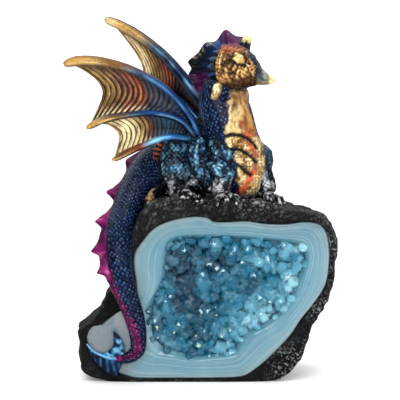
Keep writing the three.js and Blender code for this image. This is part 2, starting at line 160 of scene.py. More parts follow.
def noise(points: Array, size: float, seed: float) -> Array:
    """Value noise from -1 to 1: lattice scatter blended between the eight corners of each cell.

    Args:
        points: places in millimetres.
        size: edge of a lattice cell.
        seed: which pattern.

    Returns:
        One value for each place.
    """
    scaled = points / size
    cell = np.floor(scaled)
    part = scaled - cell
    part = part * part * (3.0 - 2.0 * part)
    total = np.zeros(points.shape[:-1])
    for corner in np.ndindex(2, 2, 2):
        weight = np.prod(np.where(corner, part, 1.0 - part), axis=-1)
        total += weight * hashed(cell + np.array(corner), seed)
    return 2.0 * total - 1.0


def fractal(points: Array, size: float, seed: float, octaves: int = 3) -> Array:
    """Sum of noise patterns, each half as large and half as strong as the one before."""
    return np.sum([noise(points, size / 2**k, seed + k) / 2**k for k in range(octaves)], axis=0)


def cells(places: Array, size: float, seed: float) -> tuple[Array, Array]:
    """Irregular scales in a plane: each place belongs to the nearest of a lattice's shifted points.

    Args:
        places: two coordinates in millimetres.
        size: distance between the lattice's points.
        seed: which pattern.

    Returns:
        Room to the next scale as a share of the size, 0 on the border, and one scattered number for
        each scale.
    """
    scaled = places / size
    home = np.floor(scaled)
    first = np.full(places.shape[:-1], 9.0)
    second = first.copy()
    luck = np.zeros_like(first)
    for shift in np.ndindex(3, 3):
        cell = home + np.array(shift) - 1.0
        point = cell + 0.2 + 0.6 * np.stack([hashed(cell, seed), hashed(cell, seed + 0.7)], axis=-1)
        far = np.linalg.norm(scaled - point, axis=-1)
        closer = far < first
        second = np.where(closer, first, np.minimum(second, far))
        luck = np.where(closer, hashed(cell, seed + 1.3), luck)
        first = np.where(closer, far, first)
    return second - first, luck


def lengths(points: Array) -> Array:
    """Length from the first of a line of points to each of them."""
    return np.concatenate([[0.0], np.cumsum(np.linalg.norm(np.diff(points, axis=0), axis=1))])


def link(item: bpy.types.Object) -> None:
    """Puts an object into the scene."""
    bpy.context.scene.collection.objects.link(item)


def unit(vectors: Array) -> Array:
    """Vectors divided by their own lengths."""
    return vectors / np.maximum(np.linalg.norm(vectors, axis=-1, keepdims=True), 1e-9)


def square_to(along: Array, aim: Array) -> Array:
    """Unit vectors: what is left of each aim without its part along the line."""
    return unit(aim - np.sum(aim * along, axis=1, keepdims=True) * along)


def rise(points: Array) -> Array:
    """Height in the front view, which looks down a little: z cos(tilt) + (y - face) sin(tilt)."""
    return points[..., 2] * math.cos(VIEW_TILT) + (points[..., 1] - FACE_Y) * math.sin(VIEW_TILT)


def from_front(places: Array, depth: Array | float) -> Array:
    """Points whose front view is a given place: z = (rise - (y - face) sin(tilt)) / cos(tilt).

    Args:
        places: x and rise of each point.
        depth: y of each point.

    Returns:
        The points.
    """
    y = np.broadcast_to(np.asarray(depth, float), places.shape[:-1])
    z = (places[..., 1] - (y - FACE_Y) * math.sin(VIEW_TILT)) / math.cos(VIEW_TILT)
    return np.stack([places[..., 0], y, z], axis=-1)


@dataclass(frozen=True)
class Path:
    """A smooth curve through stations, by the Catmull-Rom cubic between each pair.

    A station may carry further numbers after its place, such as radii, which run along with it.
    """

    stations: Stations
    closed: bool = False

    def at(self, share: Array) -> Array:
        """Stations at shares of the curve, counted in equal steps from station to station."""
        rows = np.array(self.stations, float)
        count = len(rows)
        if count == 1:
            return np.repeat(rows, len(share), axis=0)
        if self.closed:
            place = np.asarray(share, float) * count
            index = np.floor(place).astype(int)
            four = [rows[(index + k) % count] for k in (-1, 0, 1, 2)]
        else:
            place = np.clip(np.asarray(share, float), 0.0, 1.0) * (count - 1)
            index = np.minimum(np.floor(place).astype(int), count - 2)
            long = np.vstack([2 * rows[0] - rows[1], rows, 2 * rows[-1] - rows[-2]])
            four = [long[index + 1 + k] for k in (-1, 0, 1, 2)]
        t = (place - index)[:, None]
        a, b, c, d = four
        bend = 2 * a - 5 * b + 4 * c - d
        twist = 3 * (b - c) + d - a
        return b + 0.5 * t * (c - a + t * (bend + t * twist))

    def even(self, count: int, dims: int = 3) -> Array:
        """Shares that are evenly spaced by length along the curve.

        Args:
            count: how many shares.
            dims: how many of a station's numbers give its place.

        Returns:
            The shares, without the last one on a closed curve, where it is the first again.
        """
        fine = np.linspace(0.0, 1.0, 60 * len(self.stations))
        places = self.at(fine * (1 - 1e-9))[:, :dims]
        run = lengths(places)
        goals = np.linspace(0.0, run[-1], count, endpoint=not self.closed)
        return np.interp(goals, run, fine)

    def spaced(self, count: int) -> Array:
        """Stations evenly spaced along a curve in a plane."""
        return self.at(self.even(count, 2))


def away(places: Array, line: Stations) -> Array:
    """Distance from places to a smooth line in their plane: the least over short straight stretches of it.

    Args:
        places: two coordinates in millimetres.
        line: stations of the line.

    Returns:
        One distance for each place.
    """
    knots = Path(line).spaced(6 * len(line))
    best = np.full(places.shape[:-1], 1e9)
    for start, end in zip(knots[:-1], knots[1:]):
        span = end - start
        share = np.clip(((places - start) @ span) / (span @ span), 0.0, 1.0)
        best = np.minimum(best, np.linalg.norm(places - start - share[..., None] * span, axis=-1))
    return best


@dataclass
class Surface:
    """A skin over rings: its points and outward normals, and the two parameters that made them."""

    points: Array  # rings by sides by three
    normal: Array  # the same, of unit length
    share: Array  # share of the length, one for each ring
    run: Array  # length from the first ring in millimetres, one for each ring
    angle: Array  # angle from the facing direction, one for each side
    girth: Array  # arc length round the ring from the facing direction, rings by sides

    def raised(self, lift: Array) -> Array:
        """The points moved out along their normals."""
        return self.points + self.normal * lift[..., None]


def loft(stations: Stations, facing: Stations, rings: int, sides: int) -> Surface:
    """Carries an ellipse along a path.

    A ring's point is the path's point, plus half depth times the cosine of the angle along the facing
    direction, plus half width times its sine along the direction square to that and to the path.

    Args:
        stations: x, y, z, half width and, where it differs, half depth.
        facing: one or more directions, spaced evenly along the path.
        rings: rings along the path, evenly spaced.
        sides: points round each ring.

    Returns:
        The skin.
    """
    path = Path([row if len(row) == 5 else (*row, row[3]) for row in stations])
    share = path.even(rings)
    rows = path.at(share)
    centre = rows[:, :3]
    along = unit(np.gradient(centre, axis=0))
    depth = square_to(along, Path(facing).at(share))
    width = np.cross(depth, along)
    half_width, half_depth = rows[:, 3:4], rows[:, 4:5]
    angle = np.linspace(-np.pi, np.pi, sides, endpoint=False)
    cosine, sine = np.cos(angle), np.sin(angle)
    depth, width = depth[:, None], width[:, None]
    offset = (half_depth * cosine)[..., None] * depth + (half_width * sine)[..., None] * width
    lean = (cosine / half_depth)[..., None] * depth + (sine / half_width)[..., None] * width
    girth = angle * 0.5 * (half_width + half_depth)
    return Surface(centre[:, None] + offset, unit(lean), share, lengths(centre), angle, girth)


def grid_quads(rows: int, columns: int, wrap_rows: bool, wrap_columns: bool) -> Array:
    """Corner numbers of the quads of a grid whose points are numbered row by row.

    Args:
        rows: points in each column.
        columns: points in each row.
        wrap_rows: whether the last row joins the first.
        wrap_columns: whether the last column joins the first.

    Returns:
        Four corners for each quad.
    """
    r = np.arange(rows if wrap_rows else rows - 1)[:, None]
    c = np.arange(columns if wrap_columns else columns - 1)[None, :]
    next_r, next_c = (r + 1) % rows, (c + 1) % columns
    corners = [r * columns + c, r * columns + next_c, next_r * columns + next_c, next_r * columns + c]
    return np.stack(np.broadcast_arrays(*corners), axis=-1).reshape(-1, 4)


@dataclass
class Shell:
    """One closed skin with its paint."""

    points: Array
    paint: Array  # linear red, green and blue and share of metal at each point
    quads: Array  # corners of its four-sided faces
    tris: Array = field(default_factory=lambda: np.zeros((0, 3), int))  # corners of its three-sided faces
    # For a scaled skin, length round it, length along it and share of scales at each point.
    scales: Array | None = None

    def __post_init__(self) -> None:
        """Turns the faces outwards: the sum of the faces' signed volumes has to be positive."""
        halves = np.vstack([self.quads[:, [0, 1, 2]], self.quads[:, [0, 2, 3]], self.tris])
        a, b, c = (self.points[halves[:, k]] for k in range(3))
        if np.sum(a * np.cross(b, c)) < 0:
            self.quads = self.quads[:, ::-1]
            self.tris = self.tris[:, ::-1]

    def to_object(self, name: str) -> bpy.types.Object:
        """A mesh object of the shell in metres, not yet linked to the scene."""
        mesh = bpy.data.meshes.new(name)
        mesh.from_pydata((self.points * MM).tolist(), [], [*self.quads.tolist(), *self.tris.tolist()])
        store(mesh, "paint", "FLOAT_COLOR", "color", self.paint)
        store(mesh, "made", "FLOAT", "value", np.ones(len(self.points)))
        if self.scales is not None:
            store(mesh, "scales", "FLOAT_VECTOR", "vector", self.scales)
        mesh.update()
        return bpy.data.objects.new(name, mesh)


def store(mesh: bpy.types.Mesh, name: str, kind: str, key: str, values: Array) -> None:
    """Writes one value for each point into a mesh attribute, which is made if it isn't there."""
    attribute = mesh.attributes.get(name) or mesh.attributes.new(name, kind, "POINT")
    attribute.data.foreach_set(key, np.ascontiguousarray(values, np.float32).ravel())


def fetch(mesh: bpy.types.Mesh, name: str, key: str, width: int) -> Array:
    """Reads a mesh attribute back as one row for each point."""
    values = np.zeros(len(mesh.vertices) * width, np.float32)
    mesh.attributes[name].data.foreach_get(key, values)
    return values.reshape(-1, width).astype(float)


def coat(colour: Array, metal: Array | float) -> Array:
    """Colours with their share of metal as a fourth number."""
    share = np.broadcast_to(np.asarray(metal, float), colour.shape[:-1])
    return np.concatenate([colour, share[..., None]], axis=-1)


def tube(points: Array, paint: Array, scales: Array | None = None) -> Shell:
    """Closes a skin over rings with a fan to the middle of each end ring.

    Args:
        points: rings by sides by three.
        paint: the paint at each point.
        scales: for a scaled skin, what the finish needs to know at each point.

    Returns:
        The closed skin.
    """
    rings, sides = points.shape[:2]
    ends = [points[0].mean(axis=0), points[-1].mean(axis=0)]
    end_paint = [paint[0].mean(axis=0), paint[-1].mean(axis=0)]
    i = np.arange(sides)
    j = (i + 1) % sides
    first, last = rings * sides, rings * sides + 1
    start = np.stack([np.full(sides, first), j, i], axis=1)
    stop = np.stack([np.full(sides, last), i + (rings - 1) * sides, j + (rings - 1) * sides], axis=1)
    return Shell(
        np.vstack([points.reshape(-1, 3), ends]),
        np.vstack([paint.reshape(-1, 4), end_paint]),
        grid_quads(rings, sides, False, True),
        np.vstack([start, stop]),
        None if scales is None else np.vstack([scales.reshape(-1, 3), np.zeros((2, 3))]),
    )


def plate(middle: Array, half: Array, out: Sequence[float] | Array, paint: Array) -> Shell:
    """Thickens a grid: its front, its back turned over, and walls round the edge.

    Args:
        middle: the grid's points.
        half: half the thickness at each point.
        out: the way that the front faces, one for all or one for each row.
        paint: the paint at each point, front and back alike.

    Returns:
        The closed plate.
    """
    rows, columns = middle.shape[:2]
    size = rows * columns
    number = np.arange(size).reshape(rows, columns)
    edge = np.concatenate([number[0, :-1], number[:-1, -1], number[-1, :0:-1], number[:0:-1, 0]])
    after = np.roll(edge, -1)
    face = grid_quads(rows, columns, False, False)
    walls = np.stack([edge, edge + size, after + size, after], axis=1)
    shift = half[..., None] * np.asarray(out)
    return Shell(
        np.vstack([(middle + shift).reshape(-1, 3), (middle - shift).reshape(-1, 3)]),
        np.vstack([paint.reshape(-1, 4)] * 2),
        np.vstack([face, face[:, ::-1] + size, walls]),
    )


def hoop(points: Array, paint: Array) -> Shell:
    """Closes a grid both ways into a ring."""
    rows, columns = points.shape[:2]
    return Shell(points.reshape(-1, 3), paint.reshape(-1, 4), grid_quads(rows, columns, True, True))


@dataclass(frozen=True)
class Casting:
    """Shells joined into one mesh, with soft creases where they meet."""

    name: str  # the piece's name
    fillet_reach: int = 3  # how many edges from a join the softening reaches
    fillet_passes: int = 6  # how often the points near a join move towards the middle of their neighbours
    fillet_pull: float = 0.6  # how far they move each time, as a share of the way
    fillet_fade: float = 0.7  # how much weaker the softening is one edge further out
    paint_passes: int = 8  # how many edges from old points the new points along the joins are painted

    def unite(self, shells: Sequence[Shell]) -> bpy.types.Object:
        """Joins the shells.

        Args:
            shells: closed shells that overlap.

        Returns:
            The one piece, linked to the scene.
        """
        blanks = [shell.to_object(f"{self.name}_blank_{k}") for k, shell in enumerate(shells)]
        pool = bpy.data.collections.new(f"{self.name}_blanks")
        bpy.context.scene.collection.children.link(pool)
        link(blanks[0])
        for blank in blanks[1:]:
            pool.objects.link(blank)
        join = blanks[0].modifiers.new("join", "BOOLEAN")
        join.operation = "UNION"
        join.operand_type = "COLLECTION"
        join.collection = pool
        join.solver = "MANIFOLD"
        ready = blanks[0].evaluated_get(bpy.context.evaluated_depsgraph_get())
        mesh = bpy.data.meshes.new_from_object(ready)
        mesh.name = self.name
        for blank in blanks:
            bpy.data.meshes.remove(blank.data)
        bpy.data.collections.remove(pool)
        self._soften(mesh)
        mesh.polygons.foreach_set("use_smooth", np.ones(len(mesh.polygons), bool))
        mesh.update()
        piece = bpy.data.objects.new(self.name, mesh)
        link(piece)
        return piece

    def _soften(self, mesh: bpy.types.Mesh) -> None:
        """Paints the new points along the joins from their neighbours and rounds the creases there."""
        count = len(mesh.vertices)
        edges = np.zeros(len(mesh.edges) * 2, np.int32)
        mesh.edges.foreach_get("vertices", edges)
        ends = np.concatenate([edges.reshape(-1, 2), edges.reshape(-1, 2)[:, ::-1]])
        degree = np.maximum(np.bincount(ends[:, 0], minlength=count), 1)
        made = fetch(mesh, "made", "value", 1)[:, 0]
        paint = fetch(mesh, "paint", "color", 4)
        near = np.where(made < 0.5, 1.0, 0.0)
        for _ in range(self.paint_passes):
            known = np.bincount(ends[:, 0], made[ends[:, 1]], count)
            fresh = (made < 0.5) & (known > 0)
            for k in range(4):
                total = np.bincount(ends[:, 0], made[ends[:, 1]] * paint[ends[:, 1], k], count)
                paint[fresh, k] = total[fresh] / known[fresh]
            made[fresh] = 1.0
        for _ in range(self.fillet_reach):
            spread = np.zeros(count)
            np.maximum.at(spread, ends[:, 0], near[ends[:, 1]])
            near = np.maximum(near, self.fillet_fade * spread)
        near = np.where(near < self.fillet_fade**self.fillet_reach, 0.0, near)
        places = np.zeros(count * 3, np.float32)
        mesh.vertices.foreach_get("co", places)
        places = places.reshape(-1, 3).astype(float)
        for _ in range(self.fillet_passes):
            middle = [np.bincount(ends[:, 0], places[ends[:, 1], k], count) / degree for k in range(3)]
            places += self.fillet_pull * near[:, None] * (np.stack(middle, axis=1) - places)
        mesh.vertices.foreach_set("co", places.astype(np.float32).ravel())
        store(mesh, "paint", "FLOAT_COLOR", "color", paint)
        mesh.attributes.remove(mesh.attributes["made"])


@dataclass(frozen=True)
class Beads:
    """Small round scales in rows, each row set half a bead along from the next."""

    pitch: float = 1.25  # distance between beads in a row
    height: float = 0.22  # how far a bead stands out
    radius: float = 0.57  # radius of a bead, as a share of the pitch
    stray: float = 0.34  # how far the beads stray from even rows, as a share of the pitch

    def lay(self, run: Array, girth: Array) -> tuple[Array, Array]:
        """Heights and scatter of the beads over a skin.

        A bead is the cap of a ball over the nearer centre of two square-cornered lattices, one of them
        set half a step along both ways, which together make a honeycomb.

        Args:
            run: length along the skin.
            girth: length round the skin.

        Returns:
            Height as a share from 0 to 1, and one scattered number from 0 to 1 for each bead.
        """
        place = np.stack(np.broadcast_arrays(girth / self.pitch, run / self.pitch), axis=-1)
        flat = np.concatenate([place, np.zeros_like(place[..., :1])], axis=-1)
        place = place + self.stray * np.stack([noise(flat, 1.7, 1.0), noise(flat, 1.7, 2.0)], axis=-1)
        step_size = np.array([1.0, math.sqrt(3.0)])
        even = np.round(place / step_size)
        odd = np.round(place / step_size - 0.5) + 0.5
        far_even = np.linalg.norm(place - even * step_size, axis=-1)
        far_odd = np.linalg.norm(place - odd * step_size, axis=-1)
        nearest = np.where((far_even < far_odd)[..., None], even, odd)
        far = np.minimum(far_even, far_odd)
        return np.sqrt(np.clip(1.0 - (far / self.radius) ** 2, 0.0, 1.0)), hashed(nearest, 3.0)


def scale_paint(points: Array, luck: Array) -> Array:
    """Blue scales, from navy to indigo and royal blue. The finish darkens the gaps between them with dark
    paint that is also painted shade.

    Args:
        points: the skin's points.
        luck: one scattered number for each scale.

    Returns:
        Linear colours.
    """
    drift = 0.5 + 0.5 * fractal(points, 9.0, 5.0)
    return layers(
        Paint.NAVY,
        (Paint.INDIGO, 0.6 * step(0.4, 0.85, drift + 0.3 * (luck - 0.5))),
        (Paint.ROYAL, 0.6 * step(0.4, 0.9, luck) * step(0.3, 0.8, 1.0 - drift)),
    )


def scale_places(skin: Surface, share: Array) -> Array:
    """For the finish: length round and along the skin, and share of scales, none along its seam."""
    seam = np.abs(skin.angle) < np.pi - 5.0 * np.pi / len(skin.angle)
    run = np.broadcast_to(skin.run[:, None], skin.girth.shape)
    return np.stack([skin.girth, run, share * seam[None, :]], axis=-1)


@dataclass(frozen=True)
class ChestRelief:
    """What the trunk's gold front is shaped and painted by, one value for each point."""

    points: Array  # the points
    front: Array  # x and rise of each point in the front view
    side: Array  # angle from the middle of the chest
    ragged: Array  # small random shifts of the borders
    throat: Array  # 1 on the crumpled throat, 0 on the plated belly
    crumple: Array  # height of the throat's folds
    cut: Array  # depth of the dark lines across the belly
    net: Array  # 1 on the belly's small scales, 0 between them
    grain: Array  # one scattered number for each small scale


@dataclass(frozen=True)
class Trunk:
    """Neck, chest and belly: scaled all round but for the plated gold front."""

    # From inside the rock to inside the head.
    stations: Stations = (
        (14.0, -6.0, 57.0, 3.5, 3.5), (13.3, -6.0, 62.0, 7.0, 6.8), (12.5, -5.5, 68.0, 9.2, 9.1),
        (12.0, -5.0, 73.5, 9.6, 9.2), (10.7, -4.5, 79.0, 8.8, 8.5), (9.5, -3.4, 85.0, 8.6, 7.7),
        (8.1, -0.9, 90.5, 9.1, 6.8), (9.0, 1.7, 95.0, 8.4, 5.8), (9.6, 3.4, 99.0, 4.4, 3.8),
    )
    chest_aim: Point = (0.56, -0.83, 0.0)  # the way the chest faces
    # Height, then middle and half width of the gold front, as angles from the chest's aim.
    belly_rows: Stations = (
        (74.0, 0.08, 0.76), (79.0, -0.02, 0.72), (85.0, -0.045, 0.6), (90.5, 0.06, 0.49),
        (95.0, 0.06, 0.46),
    )
    # Dark lines across the belly in the front view.
    plate_lines: tuple[Stations, ...] = (
        ((7.4, 80.8), (10.0, 81.6), (13.7, 81.3), (17.0, 79.6), (18.6, 77.4)),
        ((10.4, 76.9), (12.6, 76.7), (15.4, 75.6), (18.6, 72.6)),
        ((11.4, 72.2), (13.0, 71.2), (16.8, 68.2)),
    )
    # The red strip down the belly in the front view.
    red_line: Stations = (
        (13.9, 85.6), (15.6, 81.4), (16.6, 77.8), (18.0, 74.4), (17.8, 71.0), (15.9, 66.6), (13.9, 62.8),
    )

    fold_stretch: Point = (1.0, 1.0, 0.5)  # how the throat's folds are drawn out upwards

    def shell(self) -> Shell:
        """Lifts the skin by beads and, on the gold front, by folds and plates."""
        skin = loft(self.stations, (self.chest_aim,), 126, 116)
        dome, luck = Beads().lay(skin.run[:, None], skin.girth)
        r = self._relief(skin)
        belly = self._belly(r)
        plates = 0.35 + 0.55 * r.throat * r.crumple + 0.16 * r.net * (1.0 - r.throat) - 0.85 * r.cut
        lift = dome * Beads().height * (1.0 - belly) + plates * belly
        colour = mix(scale_paint(skin.points, luck), self._gold(r), belly)
        return tube(skin.raised(lift), coat(colour, 0.35), scale_places(skin, 1.0 - belly))

    def _relief(self, skin: Surface) -> ChestRelief:
        """Sets out the throat's folds from noise, and the belly's scales and lines in the front view."""
        p = skin.points
        front = np.stack([p[..., 0], rise(p)], axis=-1)
        ragged = 0.16 * fractal(p, 2.6, 11.0)
        tall = p * np.array(self.fold_stretch)
        crumple = 0.95 - 0.7 * np.abs(noise(tall, 2.6, 21.0)) - 0.5 * np.abs(noise(tall, 1.2, 23.0))
        cracks = np.min([away(front, line) for line in self.plate_lines], axis=0)
        gap, grain = cells(front + 0.4 * ragged[..., None], 0.95, 31.0)
        side = np.zeros(p.shape[:-1]) - skin.angle
        throat = step(80.0, 82.0, front[..., 1] + 1.4 * ragged)
        cut = step(0.9, 0.25, cracks + 0.2 * noise(p, 1.0, 25.0))
        return ChestRelief(p, front, side, ragged, throat, crumple, cut, step(0.06, 0.3, gap), grain)

    def _belly(self, r: ChestRelief) -> Array:
        """Share of the gold front, by its middle and half width at each height."""
        z = r.points[..., 2]
        heights, middles, halves = np.array(self.belly_rows).T
        beyond = np.abs(r.side - np.interp(z, heights, middles)) - np.interp(z, heights, halves)
        return step(0.06, -0.06, beyond + r.ragged) * step(59.0, 63.0, z)

    def _gold(self, r: ChestRelief) -> Array:
        """Gold and cream over bronze, copper on one side of the throat, dark folds of painted shade, and
        the red strip.
        """
        p, plated = r.points, 1.0 - r.throat
        folds = 0.3 + 0.35 * noise(p * np.array(self.fold_stretch), 1.6, 29.0) + 0.2 * r.crumple
        scales = 0.25 + 0.45 * r.net * r.grain + 0.4 * noise(p, 3.0, 43.0)
        high = np.where(r.throat > 0.5, folds, scales)
        pale = step(0.2, 0.55, high + 0.25 * noise(p, 4.0, 41.0) - 0.45 * r.side * r.throat)
        warm = step(0.0, 0.45, r.side + r.ragged + 0.3 * noise(p, 2.4, 45.0))
        crease = step(0.2, 0.04, np.abs(noise(p * np.array([1.6, 1.6, 0.45]), 2.2, 27.0)))
        red = step(1.7, 0.6, away(r.front, self.red_line) + 0.7 * noise(p, 1.3, 51.0))
        fire = mix(Paint.COPPER, Paint.VERMILION, step(-0.3, 0.4, noise(p, 1.3, 53.0)))
        return layers(
            Paint.BRONZE,
            (Paint.GOLD, step(0.05, 0.5, high)),
            # Cream on the high spots, partly a painted highlight, more on the side away from the copper.
            (Paint.CREAM, (0.7 - 0.26 * r.throat) * pale),
            (Paint.COPPER, 0.7 * r.throat * warm),
            (Paint.BRONZE, 0.55 * step(0.45, 0.75, r.side - 0.5 * r.ragged) * plated),
            (Paint.UMBER, 0.6 * (1.0 - r.net) * plated),
            # Painted shade in the throat's creases.
            (Paint.UMBER, 0.6 * r.throat * crease),
            # A dark band at the top of the throat: brown paint and the head's painted shadow together.
            (Paint.UMBER, 0.85 * step(93.4, 95.2, p[..., 2] + 6.0 * r.ragged)),
            (fire, 0.85 * red),
            (Paint.SOOT, step(0.3, 0.8, r.cut)),
        )


@dataclass(frozen=True)
class Back:
    """Hips, back and the tail that hangs over the sawn face, with the finned spine."""

    # From inside the chest to the tail's end.
    stations: Stations = (
        (10.0, -3.0, 74.5, 5.0), (4.0, 1.5, 74.0, 9.0), (-3.5, 5.5, 72.0, 10.0), (-11.0, 7.0, 69.4, 9.2),
        (-17.0, 4.0, 65.6, 7.6), (-21.0, -2.5, 60.4, 6.4), (-24.0, -10.0, 55.2, 5.3),
        (-26.0, -17.0, 49.4, 4.7), (-26.6, -22.4, 43.3, 4.15), (-25.9, -25.4, 37.0, 3.75),
        (-23.9, -26.0, 29.5, 3.5), (-21.6, -25.0, 22.5, 3.15), (-20.3, -24.2, 16.0, 2.65),
        (-20.6, -23.7, 11.0, 2.3), (-23.6, -23.3, 8.5, 1.8), (-27.4, -23.0, 8.0, 1.2),
    )
    # The way the spine fin stands, in even steps along the stations.
    fin_aim: Stations = (
        (-0.5, 0.6, 0.9), (-0.5, 0.5, 0.9), (-0.7, 0.4, 0.7), (-1.0, 0.1, 0.1), (-1.0, -0.25, -0.1),
        (-0.75, -0.75, 0.0), (0.0, -1.0, 0.1), (0.0, -1.0, 0.3),
    )
    # Place along the back and height of each thorn of the fin.
    thorns: Stations = (
        (0.12, 3.0), (0.19, 3.4), (0.27, 2.8), (0.362, 3.7), (0.447, 4.6), (0.534, 5.2), (0.594, 4.5),
        (0.64, 1.4), (0.7, 0.7),
    )
    # Place along the back and height of the web between the thorns.
    fin_web: Stations = (
        (0.06, 0.3), (0.12, 0.8), (0.25, 0.4), (0.36, 0.2), (0.42, 0.6), (0.46, 1.8), (0.49, 2.4),
        (0.56, 2.5), (0.6, 1.9), (0.63, 1.3), (0.66, 0.8), (0.7, 0.4), (0.97, 0.35),
    )
    fin_from: float = 0.06  # where on the back the fin starts
    fin_to: float = 0.97  # where it ends

    def shells(self) -> list[Shell]:
        """The scaled body of the back and tail, and its fin."""
        return [self._body(), self._fin()]

    def _body(self) -> Shell:
        """A beaded tube whose beads turn magenta beside the fin, lower down the tail."""
        skin = loft(self.stations, self.fin_aim, 310, 80)
        dome, luck = Beads().lay(skin.run[:, None], skin.girth)
        starts, ends = np.clip(skin.share * 18.0, 0.0, 1.0), np.clip((1.0 - skin.share) * 20.0, 0.0, 1.0)
        fade = (starts * ends)[:, None]
        small = np.interp(skin.share, (0.75, 1.0), (1.0, 0.5))[:, None]
        reach = np.interp(skin.share, (0.38, 0.55, 0.75, 1.0), (0.1, 0.3, 0.44, 0.5))[:, None]
        stained = step(0.2, -0.15, np.abs(skin.angle)[None, :] - reach + 0.4 * (luck - 0.5))
        # Dark plum between the beads, partly painted shade, magenta on them, and a pink painted highlight
        # on their tops.
        purple = layers(
            Paint.PLUM.linear * 0.6,
            (Paint.MAGENTA, step(0.3, 1.0, dome)),
            (Paint.PINK, 0.6 * step(0.8, 1.0, dome) * step(0.4, 1.0, luck)),
        )
        colour = mix(scale_paint(skin.points, luck), purple, stained)
        lift = dome * Beads().height * fade * small
        return tube(skin.raised(lift), coat(colour, 0.5), scale_places(skin, fade))

    def fin_height(self, share: Array) -> Array:
        """Height of the fin: a low web with thorns that rise slowly and break off short.

        Args:
            share: places along the back.

        Returns:
            One height for each place.
        """
        places, heights = np.array(self.fin_web).T
        web = np.interp(share, places, heights)
        height = web.copy()
        ends = (*self.thorns[1:], (self.thorns[-1][0] + 0.05, 0.0))
        for (place, peak), (ahead, _) in zip(self.thorns, ends):
            gap = ahead - place
            up = np.clip(1.0 - (place - share) / (0.72 * gap), 0.0, 1.0) * (share <= place)
            down = np.clip(1.0 - (share - place) / (0.2 * gap), 0.0, 1.0) * (share > place)
            height = np.maximum(height, web + (peak - web) * np.maximum(up**1.7, down**1.3))
        return height

    def _fin(self) -> Shell:
        """A thin plate that follows the spine, magenta with pink brushed on its points."""
        rows, across = 300, 6
        path = Path(self.stations)
        share = np.linspace(self.fin_from, self.fin_to, rows)
        at = path.at(share)
        along = unit(np.gradient(at[:, :3], axis=0))
        out = square_to(along, Path(self.fin_aim).at(share))
        side = np.cross(out, along)
        tall = self.fin_height(share)
        v = np.linspace(0.0, 1.0, across)[None, :]
        lift = at[:, 3:4] * 0.75 + v * (at[:, 3:4] * 0.25 + tall[:, None])
        swell = np.interp(tall, (0.3, 1.5, 4.5), (0.9, 1.2, 1.0))[:, None]
        half = (1.0 - v) * 0.75 * swell + 0.22
        middle = at[:, None, :3] + out[:, None] * lift[..., None]
        ribs = 0.12 * np.sin(share * 900.0)[:, None] * v
        thorn = step(1.6, 4.0, tall)[:, None]
        mottle = 0.5 + 0.5 * fractal(middle, 2.2, 61.0)
        colour = layers(
            Paint.PLUM.linear * 0.7,
            (Paint.MAGENTA.linear * 0.75, np.clip(0.6 * thorn + 0.8 * (mottle - 0.4), 0.0, 1.0)),
            (Paint.PINK, 0.45 * step(0.6, 0.9, mottle) * (0.1 + 0.9 * thorn)),
        )
        return plate(middle, half + ribs, side[:, None], coat(colour, 0.35))


@dataclass(frozen=True)
class Boss:
    """A round or oval bump in the front view of the head."""

    x: float
    up: float  # place upwards in the front view
    half: tuple[float, float]  # half its length and half its width
    turn: float = 0.0  # angle of its length from the x axis, in radians
    height: float = 0.5  # how far it stands out
    ring: bool = False  # whether it is a ring with a hollow middle

    def lift(self, places: Array) -> Array:
        """Height over places: a power of 1 - d2, or for a ring a bell curve round two thirds out.

        Args:
            places: x and rise in the front view.

        Returns:
            One height for each place.
        """
        dx, dy = places[..., 0] - self.x, places[..., 1] - self.up
        a = (dx * math.cos(self.turn) + dy * math.sin(self.turn)) / self.half[0]
        b = (dy * math.cos(self.turn) - dx * math.sin(self.turn)) / self.half[1]
        far = np.sqrt(a * a + b * b)
        if self.ring:
            return self.height * np.exp(-(((far - 0.62) / 0.27) ** 2))
        return self.height * np.clip(1.0 - far * far, 0.0, 1.0) ** 0.6


def boss_row(line: Stations, count: int, size: float, height: float) -> list[Boss]:
    """Round bumps of one size, spaced evenly along a smooth line."""
    return [Boss(x, up, (size, size), 0.0, height) for x, up in Path(line).spaced(count)]


@dataclass(frozen=True)
class FaceRelief:
    """What the skull is shaped and painted by, one value for each point."""

    points: Array  # the points
    front: Array  # x and rise in the front view. The far side takes the mirror image of the near side
    flank: Array  # 1 on the sides of the head, 0 along its top and underside
    luck: Array  # one scattered number for each small scale
    lid: Array  # height of the brow
    slit: Array  # depth of the closed eye
    face: Array  # 1 on the face, 0 on the beak
    wrinkle: Array  # height of the brow's wrinkles
    hood: Array  # 1 on the pleated part behind the cheeks, 0 elsewhere
    pleat: Array  # height of its pleats
    lift: Array  # height of everything together
    raised: Array  # the same, from 0 to 1, less where shade is painted behind the eye
